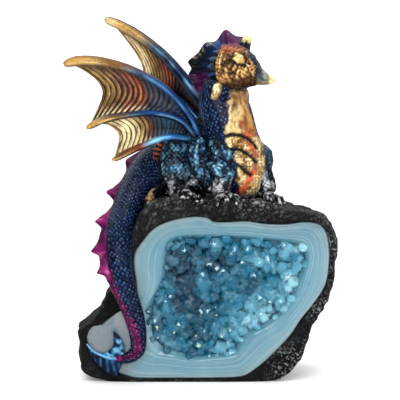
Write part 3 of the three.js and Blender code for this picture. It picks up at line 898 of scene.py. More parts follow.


@dataclass(frozen=True)
class Head:
    """The beaked head, with its brow, ringed snout, scaled cheeks, frill, far horn and cheek spur."""

    # The skull, from the nape to the beak's tip.
    stations: Stations = (
        (6.2, 4.0, 101.8, 2.2, 2.6), (7.8, 1.5, 102.0, 6.6, 7.5), (11.0, -1.0, 102.0, 7.0, 8.1),
        (13.9, -3.4, 101.8, 6.3, 7.0), (16.2, -5.0, 101.3, 5.0, 5.3), (18.5, -7.0, 100.3, 3.5, 3.4),
        (21.0, -8.6, 99.4, 2.4, 2.3), (23.2, -9.8, 98.9, 1.4, 1.4), (24.6, -10.4, 98.8, 0.6, 0.6),
    )
    brow: Boss = Boss(13.1, 106.6, (2.8, 2.3), -0.4, 0.7)  # the smooth swelling over the eye
    eye_shade: Boss = Boss(10.4, 105.6, (1.8, 1.2), -0.4, 0.6)  # painted shade behind the eye, which darkens the paint and leaves the shape as it is
    eye_slit: Stations = ((11.4, 105.6), (12.6, 104.8), (15.0, 104.4))  # the closed eye in the front view
    beak_from: float = 18.5  # x where the beak starts
    # The frill's outer edge in the front view, from the brow round to the jaw.
    frill_outer: Stations = (
        (15.4, 114.8), (12.0, 115.1), (8.4, 117.1), (5.2, 113.4), (1.7, 112.7), (-0.8, 109.4),
        (-4.0, 106.6), (-3.0, 104.2), (-3.9, 102.0), (-2.2, 99.4), (-2.0, 97.2), (0.2, 95.0), (2.8, 95.4),
    )
    # Its inner edge.
    frill_inner: Stations = (
        (13.0, 109.0), (9.6, 109.8), (8.2, 107.6), (7.0, 105.0), (6.4, 102.4), (6.2, 99.6), (6.0, 97.0),
    )
    frill_depth: tuple[float, float] = (-0.6, 4.4)  # y of its inner and its outer edge
    frill_ridges: float = 21.0  # how many ridges it has
    # Paints along it.
    frill_hues: Hues = (
        (0.0, Paint.MIDNIGHT), (0.08, Paint.PLUM), (0.18, Paint.PLUM), (0.25, Paint.ROYAL),
        (0.36, Paint.NAVY), (0.44, Paint.MIDNIGHT), (0.54, Paint.SOOT), (0.62, Paint.MIDNIGHT),
        (0.68, Paint.PLUM), (0.8, Paint.PLUM), (0.9, Paint.MAGENTA), (1.0, Paint.PINK),
    )
    # The horn behind the brow.
    far_horn: Stations = (
        (13.0, 1.2, 106.2, 2.6), (14.6, 1.8, 109.0, 2.3), (15.6, 2.0, 111.5, 1.8), (15.9, 2.0, 113.0, 1.0),
    )
    # The gold drop at the corner of the jaw.
    cheek_spur: Stations = (
        (6.4, -5.2, 97.4, 1.2), (5.6, -7.2, 95.6, 1.4), (5.0, -8.0, 93.6, 1.2), (4.6, -8.0, 92.2, 0.5),
    )
    horn_facing: Point = (0.5, -0.8, 0.0)  # the way both of these face

    def shells(self) -> list[Shell]:
        """Every part of the head."""
        return [self._skull(), self._frill(), *self._horns()]

    def bosses(self) -> list[Boss]:
        """The larger scales of the face."""
        rings = [
            Boss(16.4, 104.8, (1.3, 1.2), 0.0, 0.8, True), Boss(17.3, 102.8, (1.15, 1.1), 0.0, 0.8, True),
            Boss(13.3, 102.3, (1.4, 1.0), 0.2, 0.7, True), Boss(15.3, 103.0, (1.0, 0.9), 0.3, 0.6),
        ]
        rows = [
            *boss_row(((9.8, 104.4), (11.4, 103.4)), 2, 1.0, 0.65),
            *boss_row(((10.8, 101.2), (13.0, 100.8), (16.0, 101.4)), 4, 0.9, 0.6),
            *boss_row(((6.9, 100.2), (10.4, 98.8), (15.4, 99.4)), 7, 0.8, 0.55),
            *boss_row(((8.6, 110.0), (12.2, 109.6), (15.6, 108.6)), 8, 0.7, 0.5),
            *boss_row(((17.0, 108.0), (18.6, 106.0), (19.2, 104.0)), 4, 0.95, 0.9),
        ]
        drop_places = ((8.8, 103.2), (7.9, 101.4), (9.2, 101.2), (9.9, 99.5))
        drops = [Boss(x, up, (1.4, 0.65), -1.0, 0.7) for x, up in drop_places]
        loops = [
            Boss(6.1 + 0.055 * d * d, 104.5 + d, (1.2, 0.75), 0.6 + 0.13 * d, 0.7, True)
            for d in np.arange(-5.5, 8.0, 1.15)
        ]
        return [*rings, *rows, *drops, *loops]

    def _skull(self) -> Shell:
        """Lifts the skull by its relief and paints it."""
        skin = loft(self.stations, UP, 112, 126)
        r = self._relief(skin)
        colour = layers(
            self._beak(r), (self._gold(r), r.face), (Paint.UMBER, 0.6 * r.slit), (self._cowl(r), r.hood),
        )
        return tube(skin.raised(r.lift), coat(colour, 0.4))

    def _relief(self, skin: Surface) -> FaceRelief:
        """Sets out the face in the front view.

        The far side takes the mirror image: a point there is first carried across the head's middle plane.
        """
        p = skin.points
        middle = p.mean(axis=1, keepdims=True)
        across = unit(np.cross(unit(np.gradient(middle[:, 0], axis=0)), np.array(UP)))[:, None]
        side = np.sum((p - middle) * across, axis=-1)
        near = -np.abs(side) * np.sign(across[..., 1])
        folded = p + (near - side)[..., None] * across
        front = np.stack([folded[..., 0], rise(folded)], axis=-1)
        height = front[..., 1]
        flank = step(0.15, 0.5, np.abs(np.sum(skin.normal * across, axis=-1)))
        flat = np.stack(np.broadcast_arrays(skin.girth, skin.run[:, None]), axis=-1)
        fine, luck = cells(flat, 1.25, 85.0)
        scales = np.max([boss.lift(front) for boss in self.bosses()], axis=0)
        lid = self.brow.lift(front) * flank
        slit = step(0.6, 0.15, away(front, self.eye_slit)) * flank
        face = step(self.beak_from + 0.5, self.beak_from - 0.5, p[..., 0] + 0.4 * noise(p, 1.5, 71.0))
        cheek = p[..., 0] - 4.9 - 0.057 * (height - 104.5) ** 2 + 0.5 * noise(p, 1.4, 72.0)
        small = 0.45 * step(0.0, 0.35, fine) * step(0.5, 0.1, lid) * step(-0.6, 0.6, cheek)
        wrinkle = 0.2 * noise(p * np.array([0.6, 1.0, 1.6]), 1.0, 70.0) * step(0.1, 0.4, lid)
        lift = face * np.maximum(np.maximum(scales * flank, lid), small)
        lift = lift + wrinkle - 0.25 * slit + 0.1 * fractal(p, 1.1, 73.0)
        hood = step(0.3, -0.3, cheek)
        pleat = np.sin(2.4 * height + 0.5 * p[..., 0] + 1.3 * noise(p, 2.5, 84.0))
        lift = lift + 0.35 * pleat * hood
        # Painted shade behind the eye.
        hollow = self.eye_shade.lift(front) * flank / self.eye_shade.height
        raised = np.clip(lift / 0.6, 0.0, 1.0) * (1.0 - 0.35 * hollow)
        return FaceRelief(p, front, flank, luck, lid, slit, face, wrinkle, hood, pleat, lift, raised)

    def _gold(self, r: FaceRelief) -> Array:
        """Gold on the raised scales over umber, copper and dark low down, a painted highlight on the brow,
        and a dark bridge to the beak.
        """
        p, (x, height) = r.points, np.moveaxis(r.front, -1, 0)
        grain = 0.5 * (r.luck - 0.5)
        shine = r.raised + grain + 0.3 * noise(p, 2.4, 75.0) + 0.25 * noise(p, 0.8, 74.0) - 0.04
        smooth = step(-0.2, 0.5, noise(p, 1.0, 76.0) + 2.0 * r.wrinkle)
        gold = layers(
            Paint.BRONZE,
            (Paint.GOLD, step(0.5, 1.0, shine)),
            (Paint.CREAM, 0.8 * step(1.0, 1.35, shine) * step(0.9, 0.3, r.lid)),
            # A painted highlight on the smooth brow.
            (Paint.CREAM, 0.4 * step(0.2, 0.7, r.lid) * smooth),
        )
        crown = step(107.9, 109.2, height + 0.5 * noise(p, 1.4, 77.0) - 0.12 * (x - 10.0))
        crown *= step(15.4, 14.0, p[..., 0])
        bridge = step(14.6, 16.4, p[..., 0]) * step(0.85, 0.4, r.flank)
        return layers(
            Paint.UMBER.linear * 0.7,
            (gold, step(0.4, 0.95, r.raised)),
            (Paint.COPPER, 0.45 * step(101.6, 99.8, height) * step(0.2, 0.7, r.raised)),
            (Paint.UMBER, 0.85 * step(100.2, 98.6, height - 0.12 * (x - 8.0))),
            (self._forehead(r), 0.9 * crown),
            (Paint.TEAL.linear * 0.5, 0.85 * bridge),
        )

    @staticmethod
    def _forehead(r: FaceRelief) -> Array:
        """Copper and red scales over umber, gold along the brow and plum on top."""
        p, height = r.points, r.front[..., 1]
        return layers(
            Paint.UMBER,
            (Paint.COPPER, step(0.0, 0.8, r.raised + 0.5 * noise(p, 1.5, 79.0))),
            (Paint.VERMILION, 0.3 * step(0.4, 0.9, r.raised * noise(p, 1.1, 78.0) + 0.4)),
            (Paint.GOLD, 0.5 * step(110.4, 108.4, height) * step(0.5, 0.9, r.raised)),
            (Paint.PLUM, step(110.0, 112.0, height)),
        )

    @staticmethod
    def _beak(r: FaceRelief) -> Array:
        """Horn, dark at its root and along its top, straw at its tip."""
        p = r.points
        return layers(
            Paint.SLATE.linear * 0.5,
            (Paint.HORN, step(-0.4, 0.8, 0.5 * fractal(p, 2.4, 81.0) + 0.16 * (p[..., 0] - 20.0))),
            (Paint.OLIVE_GOLD, 0.5 * step(99.2, 97.6, p[..., 2])),
            (Paint.SOOT, 0.9 * step(101.8, 103.4, r.front[..., 1] + 1.2 * noise(p, 1.0, 80.0))),
            (Paint.STRAW, step(22.2, 23.4, p[..., 0])),
        )

    @staticmethod
    def _cowl(r: FaceRelief) -> Array:
        """Navy pleats behind the cheeks, soot in their grooves as painted shade, and painted highlights
        here and there along their crests.
        """
        p = r.points
        return layers(
            Paint.SOOT,
            (Paint.NAVY, step(-0.7, 0.2, r.pleat)),
            (Paint.COBALT, 0.4 * step(0.3, 0.9, r.pleat) * step(-0.3, 0.4, noise(p, 2.0, 86.0))),
            (Paint.SKY, 0.25 * step(0.75, 1.0, r.pleat) * step(0.1, 0.5, noise(p, 1.6, 88.0))),
        )

    def _frill(self) -> Shell:
        """A lobed fan round the back of the head: straight lines from an inner to an outer curve.

        Its plate thins towards the edge, and its ridges run out from the head.
        """
        columns, rows = 120, 16
        u = np.linspace(0.0, 1.0, columns)
        v = np.linspace(0.0, 1.0, rows)[:, None]
        start, stop = Path(self.frill_inner).spaced(columns), Path(self.frill_outer).at(u)
        flat = start[None] + v[..., None] * (stop - start)[None]
        depth = self.frill_depth[0] + (self.frill_depth[1] - self.frill_depth[0]) * v**1.4
        middle = from_front(flat, depth)
        ridge = np.abs(np.sin(u * self.frill_ridges * np.pi))[None, :] ** 0.7
        half = 1.5 - 1.15 * v + 0.28 * ridge * np.sin(np.pi * np.clip(v * 0.9 + 0.1, 0.0, 1.0))
        inside = step(0.75, 0.15, v) * step(0.2, 0.4, u)
        sparkle = step(0.1, 0.6, noise(middle, 1.1, 83.0)) * step(0.75, 1.0, v)
        sparkle = sparkle * step(0.2, 0.3, u) * step(0.55, 0.4, u)
        glint = step(0.55, 0.9, noise(middle * np.array([1.0, 1.0, 2.0]), 1.6, 89.0)) * np.sin(np.pi * v)
        colour = layers(
            ramp(np.broadcast_to(u, middle.shape[:-1]), self.frill_hues),
            (Paint.ROYAL, 0.85 * inside * step(-0.5, 0.3, noise(middle, 2.4, 87.0))),
            # Soot between the ridges is painted shade; the sky blue from the glint noise is a painted
            # highlight.
            (Paint.SOOT, 0.6 * step(0.45, 0.1, ridge)),
            (Paint.STRAW, 0.7 * sparkle),
            (Paint.SKY, 0.35 * glint),
        )
        return plate(middle, half, TO_VIEWER, coat(colour, 0.55))

    def _horns(self) -> list[Shell]:
        """Two tubes with small dents."""
        horn = loft(self.far_horn, (self.horn_facing,), 36, 28)
        bumps = 0.18 * fractal(horn.points, 1.4, 91.0)
        pale = step(110.6, 111.6, horn.points[..., 2] + 4.0 * bumps + 0.3 * (horn.points[..., 0] - 16.0))
        drop = loft(self.cheek_spur, (self.horn_facing,), 36, 28)
        dents = 0.2 * fractal(drop.points, 1.2, 93.0)
        gilt = mix(Paint.OLIVE_GOLD, Paint.CREAM, step(-0.05, 0.2, dents))
        return [
            tube(horn.raised(bumps), coat(mix(Paint.MIDNIGHT, Paint.STRAW, pale), 0.3)),
            tube(drop.raised(dents), coat(gilt, 0.5)),
        ]


@dataclass(frozen=True)
class Limb:
    """An arm or leg: a knobbly tube that turns from blue to black with silver brushed on low down."""

    stations: Stations  # from inside the body to the wrist or ankle
    aim: Point = (0.58, -0.81, 0.0)  # the way its section faces
    scale: float = 1.7  # size of its scales
    bright: float = 0.7  # share of light blue brushed on its upper part, partly a painted highlight on what faces the front
    blue: float = 0.8  # share of middle blue under that
    violet: float = 0.3  # how far its base leans to violet
    brush: Paint = Paint.SILVER  # paint brushed on its lower part
    seed: float = 101.0

    def shell(self) -> Shell:
        """A tube lifted by lumps, long scales, streaks and fine hair-like ridges along it, all noise."""
        size = max(row[3] for row in self.stations)
        length = sum(math.dist(a[:3], b[:3]) for a, b in zip(self.stations, self.stations[1:]))
        skin = loft(self.stations, (self.aim,), int(12 + 2.3 * length), int(16 + 5.2 * size))
        p = skin.points
        place = np.stack(np.broadcast_arrays(skin.girth, 0.55 * skin.run[:, None]), axis=-1)
        gap, luck = cells(place + 0.8 * noise(p, 2.2, self.seed)[..., None], self.scale, self.seed)
        strand = np.concatenate([place * np.array([1.0, 0.7]), np.zeros_like(place[..., :1])], axis=-1)
        streak = 0.75 - 1.5 * np.abs(noise(strand, 1.3, self.seed + 3.0))
        dome = step(0.0, 0.6, gap) * (0.15 + 0.85 * luck)
        lump = fractal(p, 4.6, self.seed)
        lift = 0.6 * lump + 0.45 * dome + 0.35 * streak
        hair = 0.65 - 1.5 * np.abs(noise(strand * np.array([1.4, 0.6, 1.0]), 1.2, self.seed + 4.0))
        # Painted shade on the sides turned away from the front and the top, which also keeps the light blue
        # and silver off them.
        turned = step(0.8, 0.25, 0.9 * np.abs(skin.normal[..., 1]) + 0.35 * skin.normal[..., 2])
        high = 0.75 * dome + 0.5 * streak - 0.45 * turned
        colour = self._paint(p, lump, high, hair + 0.45 * lump - 0.35 * turned)
        places = scale_places(skin, np.full(lift.shape, 0.75))
        return tube(skin.raised(lift + 0.15 * hair), coat(colour, 0.45), places)

    def _paint(self, points: Array, lump: Array, dome: Array, hair: Array) -> Array:
        """Slate, violet and blue high up, soot below, with lighter paints dragged over the high spots and
        painted shade in the low ones.
        """
        drift = noise(points, 5.0, self.seed + 7.0)
        high = dome + 0.25 * lump + 0.3 * noise(points, 0.9, self.seed + 9.0)
        upper = layers(
            Paint.MIDNIGHT,
            (Paint.SLATE, step(-0.3, 0.5, drift)),
            (Paint.INDIGO, self.violet * step(-0.2, 0.5, -drift)),
            (Paint.TEAL, 0.9 * step(0.1, 0.45, high)),
            (mix(Paint.LAGOON, Paint.COBALT, step(-0.3, 0.5, -drift)), self.blue * step(0.3, 0.6, high)),
            (Paint.SKY, self.bright * step(0.4, 0.75, high + 0.15 * drift)),
            (Paint.ICE, 0.8 * self.bright * step(0.6, 0.85, high)),
            (Paint.SOOT, 0.85 * step(0.15, -0.1, high)),
        )
        ash = mix(Paint.SOOT, Paint.ASH, 0.6 * step(0.1, 0.45, hair))
        lower = mix(ash, self.brush, 0.95 * step(0.2, 0.5, hair))
        return mix(upper, lower, step(69.5, 64.5, points[..., 2] + 1.8 * drift))


NEAR_ARM = Limb(
    ((4.6, -9.0, 78.4, 2.4), (6.4, -11.6, 75.4, 3.7), (7.4, -13.0, 71.0, 4.1), (7.2, -14.2, 66.4, 3.6),
     (6.8, -15.6, 62.0, 2.9)),
    bright=0.85, violet=0.1, scale=1.5, seed=101.0,
)
SKIN_FOLD = Limb(
    ((-0.6, -9.6, 71.0, 2.2), (1.4, -11.4, 69.0, 3.4), (3.0, -12.4, 66.0, 3.4), (4.0, -13.0, 62.0, 2.6)),
    scale=1.4, bright=0.6, seed=102.0,
)
FAR_ARM = Limb(
    ((17.5, -2.5, 77.0, 2.2), (19.8, -4.5, 73.6, 3.3), (20.6, -5.6, 69.6, 3.2), (21.3, -6.6, 65.2, 3.3),
     (22.4, -7.6, 61.0, 3.5)),
    scale=1.2, bright=0.1, blue=0.2, violet=0.6, seed=103.0,
)
NEAR_THIGH = Limb(
    ((-7.4, 2.5, 79.5, 2.2), (-7.8, 0.5, 75.4, 5.0), (-8.0, -1.5, 69.5, 5.6), (-7.6, -3.5, 63.0, 3.8)),
    scale=1.9, bright=0.6, violet=0.8, seed=105.0,
)
FAR_THIGH = Limb(
    ((0.0, 12.0, 79.0, 2.4), (0.5, 12.5, 75.0, 5.2), (2.0, 13.0, 69.5, 5.8), (3.5, 12.0, 63.0, 3.6)),
    seed=107.0,
)
NEAR_INSTEP = Limb(
    ((-9.0, -3.0, 63.5, 3.2), (-7.2, -7.5, 62.6, 3.3), (-5.6, -11.6, 61.4, 2.6)), UP[0], 1.4, seed=109.0,
)
FAR_INSTEP = Limb(
    ((1.0, 14.0, 60.5, 2.6), (5.0, 13.0, 60.5, 3.2), (9.5, 10.5, 59.8, 2.4)), UP[0], 1.4, seed=111.0,
)
SEAT = Limb(
    ((-8.0, 3.0, 60.0, 4.0), (-2.0, -1.0, 62.5, 7.0), (6.0, -3.0, 62.5, 7.5), (13.0, -4.0, 60.5, 5.0)),
    UP[0], seed=113.0,
)
NEAR_ELBOW = Limb(
    ((-0.6, -6.0, 79.0, 2.0), (-0.8, -8.6, 75.4, 2.9), (-0.4, -9.4, 71.4, 3.0), (0.0, -9.4, 67.4, 2.2)),
    bright=0.9, seed=115.0,
)
FOREARM_MUSCLE = Limb(
    ((2.8, -12.6, 70.0, 1.5), (4.8, -15.4, 70.2, 2.1), (7.8, -16.8, 68.8, 2.0), (10.6, -15.6, 67.6, 1.3)),
    UP[0], 1.2, 1.0, violet=0.0, seed=121.0,
)
WING_SHOULDER = Limb(
    ((4.0, 0.0, 79.0, 3.4), (2.0, 1.4, 83.6, 3.4), (2.6, 2.4, 88.6, 2.4)), bright=0.1, seed=119.0,
)
GOLD_RIDGE = Limb(
    ((-17.6, -14.0, 57.0, 0.6), (-16.6, -12.8, 60.4, 0.65), (-14.7, -10.4, 63.1, 0.7),
     (-11.6, -6.0, 64.6, 1.0)),
    brush=Paint.OLIVE_GOLD, seed=117.0,
)


@dataclass(frozen=True)
class Ladder:
    """A short stub of ribbed web below the near wing, orange on its rungs."""

    # From its top down.
    stations: Stations = (
        (-12.8, -6.2, 78.6, 0.9), (-13.8, -6.4, 76.4, 1.15), (-14.4, -6.2, 74.0, 1.05),
        (-14.8, -5.4, 72.2, 0.7),
    )
    rungs: float = 1.5  # distance between rungs

    def shell(self) -> Shell:
        """A tube lifted by a cosine along it."""
        skin = loft(self.stations, (TO_VIEWER,), 60, 20)
        along = 0.5 + 0.5 * np.cos(2.0 * np.pi * skin.run / self.rungs)[:, None]
        wave = np.broadcast_to(along, skin.girth.shape)
        colour = mix(Paint.UMBER.linear * 0.5, Paint.COPPER.linear * 0.8, step(0.4, 0.95, wave))
        return tube(skin.raised(0.3 * wave), coat(colour, 0.4))


@dataclass(frozen=True)
class Paw:
    """A palm and its toes, each with a hooked claw."""

    knuckles: Point  # where the toes start
    heading: float  # way of the middle toe, in degrees from +X towards +Y
    toes: int = 4
    spread: float = 25.0  # angle between toes in degrees
    toe_length: float = 5.8  # from the knuckles to the last joint
    toe_radius: float = 0.85
    palm: float = 2.3
    # Share of the toe's length, rise, and share of its radius, at each station of a toe.
    toe_profile: Stations = (
        (0.0, 0.0, 1.0), (0.3, 0.7, 1.2), (0.55, 0.3, 0.95), (0.8, -0.3, 1.0), (1.0, -1.3, 0.6),
        (1.15, -2.6, 0.2),
    )

    def shells(self) -> list[Shell]:
        """Tubes from the heel forwards and, fanned out, along each toe."""
        x, y, z = self.knuckles
        ahead = math.radians(self.heading)
        reach = np.array([math.cos(ahead), math.sin(ahead), 0.0])
        heel, fore = np.array(self.knuckles) - 2.4 * reach, np.array(self.knuckles) + 2.2 * reach
        palm = ((*heel, 1.0), (*(heel + 0.8 * reach), 2.2), (x, y, z + 0.3, self.palm), (*fore, 1.0))
        made = [self._finish(loft(palm, UP, 18, 20), 0.0)]
        for k in range(self.toes):
            angle = math.radians(self.heading + self.spread * (k - 0.5 * (self.toes - 1)))
            step_x, step_y = math.cos(angle) * self.toe_length, math.sin(angle) * self.toe_length
            toe = [
                (x + s * step_x, y + s * step_y, z + h, r * self.toe_radius) for s, h, r in self.toe_profile
            ]
            made.append(self._finish(loft(toe, UP, 26, 11), 1.0))
        return made

    @staticmethod
    def _finish(skin: Surface, claw: float) -> Shell:
        """Soot with silver brushed over knuckles and claws."""
        p = skin.points
        lump = fractal(p, 1.1, 121.0)
        rings = np.cos(skin.run * 3.6)[:, None]
        spots = step(0.0, 0.4, lump + 0.3 * rings + 0.35 * claw * step(0.72, 0.9, skin.share)[:, None])
        spots = spots * step(-0.6, 0.1, noise(p, 0.7, 125.0))
        colour = mix(Paint.SOOT, Paint.SILVER, 0.95 * spots)
        return tube(skin.raised(0.16 * lump + 0.08 * rings), coat(colour, 0.35))


@dataclass(frozen=True)
class Spar:
    """A finger bone of a wing."""

    stations: Stations  # from its root to its tip
    hues: Hues  # paints along it
    over: tuple[Paint, float] = (Paint.COPPER, 0.5)  # paint brushed along its upper side, with its share


WING_FACING = (0.25, -0.95, 0.15)
SPAR_HUES = (
    (0.0, Paint.NAVY), (0.2, Paint.ROYAL), (0.42, Paint.ROYAL), (0.54, Paint.SLATE), (0.64, Paint.BRONZE),
    (0.74, Paint.OLIVE_GOLD), (0.84, Paint.GOLD), (0.96, Paint.GOLD), (0.99, Paint.BRONZE),
    (1.0, Paint.UMBER),
)
WEB_HUES = (
    (0.0, Paint.MIDNIGHT), (0.22, Paint.NAVY), (0.38, Paint.SLATE), (0.5, Paint.SLATE),
    (0.58, Paint.RUST), (0.66, Paint.COPPER), (0.74, Paint.RUST), (0.84, Paint.BRONZE),
    (0.94, Paint.OLIVE_GOLD), (1.0, Paint.BRONZE),
)
BRIGHT_WEB_HUES = (
    (0.0, Paint.MIDNIGHT), (0.3, Paint.TEAL), (0.44, Paint.SLATE), (0.54, Paint.RUST),
    (0.66, Paint.OLIVE_GOLD), (0.78, Paint.CREAM), (0.94, Paint.CREAM), (1.0, Paint.OLIVE_GOLD),
)


@dataclass(frozen=True)
class Web:
    """A ribbed membrane between two spars."""

    upper: int  # number of its upper spar
    lower: int  # number of its lower spar
    start: float  # share along the spars where it starts
    ends: tuple[float, float]  # share along the upper and lower spar that it reaches
    scallop: float  # share that its edge is cut back between the spars
    ribs: int
    hues: Hues  # paints from its root to its edge


@dataclass(frozen=True)
class Wing:
    """Spars fanned from the shoulder with ribbed webs between them."""

    spars: Sequence[Spar]  # from the upper one down
    webs: Sequence[Web]  # the webs between them
    half_thickness: float = 0.42  # of a web between its ribs
    rib_height: float = 0.42  # how far a rib stands out on each side
    sag: float = 1.3  # how far a web hangs back between its spars

    def shells(self) -> list[Shell]:
        """All spars and webs."""
        return [*map(self._spar, self.spars), *map(self._web, self.webs)]

    @staticmethod
    def _spar(spar: Spar) -> Shell:
        """A round bone, blue at its root and gold at its tip, with a painted highlight along its front and
        painted shade along its underside.
        """
        skin = loft(spar.stations, (WING_FACING,), 78, 16)
        p, upward = skin.points, skin.normal[..., 2]
        share = np.broadcast_to(skin.share[:, None], p.shape[:-1])
        # Where the painted highlight runs along the front of the bone.
        ridge = step(0.5, 0.1, np.abs(skin.angle - 0.4))[None, :] * step(-0.6, 0.5, noise(p, 4.0, 135.0))
        gilt = 0.75 * Paint.GOLD.linear + 0.25 * Paint.CREAM.linear
        over, over_share = spar.over
        colour = layers(
            ramp(share + 0.03 * noise(p, 3.0, 131.0), spar.hues),
            (over, over_share * step(0.45, 0.9, upward) * step(0.4, 0.6, share)),
            # Midnight and umber on the underside are painted shade.
            (Paint.MIDNIGHT, 0.75 * step(-0.2, -0.85, upward) * step(0.75, 0.35, share)),
            (Paint.UMBER, 0.8 * step(-0.2, -0.8, upward) * step(0.35, 0.75, share)),
            (Paint.UMBER, 0.8 * step(0.7, 0.95, upward) * step(0.45, 0.6, share)),
            (mix(Paint.SKY, gilt, step(0.5, 0.65, share)), (0.45 + 0.4 * step(0.55, 0.7, share)) * ridge),
        )
        return tube(skin.raised(0.05 * fractal(p, 1.6, 133.0)), coat(colour, 0.55))

    def _web(self, web: Web) -> Shell:
        """A plate between the two spars: along them by u, across from one to the other by v.

        It sags backwards between the spars by the sine of v, and its ribs run from spar to spar.
        """
        columns, rows = 7 * web.ribs + 1, 15
        u = np.linspace(0.0, 1.0, columns)[None, :]
        v = np.linspace(0.0, 1.0, rows)[:, None]
        reach = web.ends[0] + (web.ends[1] - web.ends[0]) * v - 4.0 * web.scallop * v * (1.0 - v) * u**0.7
        along = (web.start + u * (reach - web.start)).ravel()
        top, low = (
            Path(self.spars[k].stations).at(along)[:, :3].reshape(rows, columns, 3)
            for k in (web.upper, web.lower)
        )
        facing = unit(np.array(WING_FACING))
        hang = self.sag * np.sin(np.pi * v) * np.ones_like(u)
        middle = top + v[..., None] * (low - top) - hang[..., None] * facing
        phase = np.pi * web.ribs * u**0.85 + 0.5 * np.sin(2.5 * v) + 0.25 * noise(middle, 4.0, 143.0)
        rib = np.abs(np.cos(phase)) ** 0.8 * step(0.0, 0.06, u)
        half = self.half_thickness * (1.0 - 0.5 * step(0.85, 1.0, u))
        half = half + self.rib_height * rib * step(1.0, 0.9, u)
        grain = noise(middle, 2.2, 141.0)
        crest = step(0.8, 1.0, rib) * step(-0.4, 0.4, grain)
        fine = step(0.1, 0.7, noise(middle * np.array([3.0, 1.0, 1.0]), 1.4, 145.0))
        groove_shade = step(0.78, 0.28, rib + 0.25 * noise(middle, 1.8, 147.0))
        colour = layers(
            ramp(u + 0.05 * grain, web.hues),
            # Painted highlights: gold along the rib crests, and cream and steel on them near the lower
            # spar.
            (Paint.GOLD, 0.3 * crest * step(0.55, 0.75, u)),
            (Paint.CREAM, 0.75 * step(0.7, 1.0, rib) * step(0.72, 0.95, v) * step(0.45, 0.6, u)),
            (Paint.STEEL, 0.6 * step(0.8, 1.0, rib) * step(0.8, 0.95, v) * step(0.6, 0.4, u)),
            (Paint.UMBER, 0.65 * fine),
            # Painted shade in the grooves between the ribs, and the upper spar's painted shadow along the
            # top of the web.
            (Paint.UMBER.linear * 0.4, 0.95 * groove_shade),
            (Paint.SOOT, 0.7 * step(0.22, 0.03, v)),
        )
        return plate(middle, half, facing, coat(colour, 0.5))


NEAR_WING = Wing(
    (
        Spar((
            (2.0, -5.0, 75.5, 1.5), (-0.6, -5.6, 81.0, 1.25), (-3.2, -5.7, 86.4, 1.15),
            (-7.0, -5.2, 91.3, 1.15), (-12.0, -3.8, 96.0, 1.25), (-18.5, -2.0, 99.9, 1.35),
            (-25.0, 0.0, 102.5, 1.5), (-33.0, 3.0, 104.2, 1.75), (-39.5, 5.0, 104.5, 1.85),
            (-43.9, 6.0, 103.8, 1.55), (-45.6, 6.4, 103.2, 0.8),
        ), SPAR_HUES),
        Spar((
            (-1.5, -6.0, 80.0, 1.2), (-5.0, -6.6, 84.2, 1.0), (-9.2, -7.0, 86.6, 0.95),
            (-15.0, -6.8, 87.7, 0.95), (-20.0, -5.6, 87.6, 1.0), (-26.5, -3.6, 86.6, 1.05),
            (-32.0, -1.4, 85.2, 1.25), (-36.2, 0.4, 83.2, 1.15), (-37.8, 1.0, 82.2, 0.6),
        ), SPAR_HUES, (Paint.STEEL, 0.4)),
        Spar((
            (-3.0, -5.4, 79.0, 1.4), (-8.0, -6.4, 79.8, 1.2), (-12.0, -6.8, 79.4, 1.1),
            (-16.8, -6.6, 77.8, 1.05), (-22.0, -5.4, 75.5, 1.1), (-27.2, -3.6, 72.8, 1.05),
            (-29.2, -3.0, 71.8, 0.55),
        ), (
            (0.0, Paint.TEAL), (0.2, Paint.COBALT), (0.44, Paint.SKY), (0.6, Paint.COPPER),
            (0.8, Paint.BRONZE), (1.0, Paint.GOLD),
        ), (Paint.COPPER, 0.35)),
    ),
    (
        Web(0, 1, 0.06, (0.9, 0.9), 0.185, 22, WEB_HUES),
        Web(1, 2, 0.06, (0.82, 0.92), 0.165, 17, BRIGHT_WEB_HUES),
    ),
)
FAR_WING = Wing(
    (
        Spar((
            (5.0, 3.0, 82.0, 1.8), (2.1, 3.6, 88.3, 2.1), (-1.6, 5.0, 93.7, 2.15),
            (-6.4, 8.0, 99.5, 2.0), (-11.1, 11.0, 104.8, 1.85), (-16.6, 14.0, 109.5, 1.75),
            (-21.8, 17.0, 113.0, 1.8), (-26.9, 19.4, 115.7, 1.7), (-30.8, 20.8, 117.3, 1.45),
            (-32.3, 21.2, 118.0, 0.75),
        ), (
            (0.0, Paint.MIDNIGHT), (0.35, Paint.NAVY), (0.5, Paint.SLATE), (0.64, Paint.OLIVE_GOLD),
            (0.8, Paint.GOLD), (0.94, Paint.CREAM), (1.0, Paint.BRONZE),
        ), (Paint.SOOT, 0.95)),
        Spar((
            (2.0, 5.0, 82.0, 1.2), (-6.5, 9.0, 90.5, 1.0), (-13.0, 13.0, 92.8, 1.0),
            (-19.0, 16.4, 92.6, 1.05), (-23.8, 19.2, 91.1, 0.9), (-25.0, 20.0, 90.6, 0.4),
        ), SPAR_HUES),
        Spar((
            (0.0, 6.0, 79.0, 1.4), (-7.0, 10.5, 82.6, 1.1), (-12.5, 14.5, 82.4, 1.05),
            (-17.0, 17.8, 80.5, 0.9), (-18.0, 18.5, 80.0, 0.4),
        ), SPAR_HUES),
    ),
    (
        Web(0, 1, 0.08, (0.88, 0.7), 0.18, 19, (
            (0.0, Paint.SOOT), (0.3, Paint.MIDNIGHT), (0.42, Paint.UMBER), (0.52, Paint.COPPER),
            (0.62, Paint.BRONZE), (0.78, Paint.OLIVE_GOLD), (0.9, Paint.CREAM), (0.96, Paint.GOLD),
            (1.0, Paint.BRONZE),
        )),
        Web(1, 2, 0.08, (0.66, 0.86), 0.12, 10, BRIGHT_WEB_HUES),
    ),
)


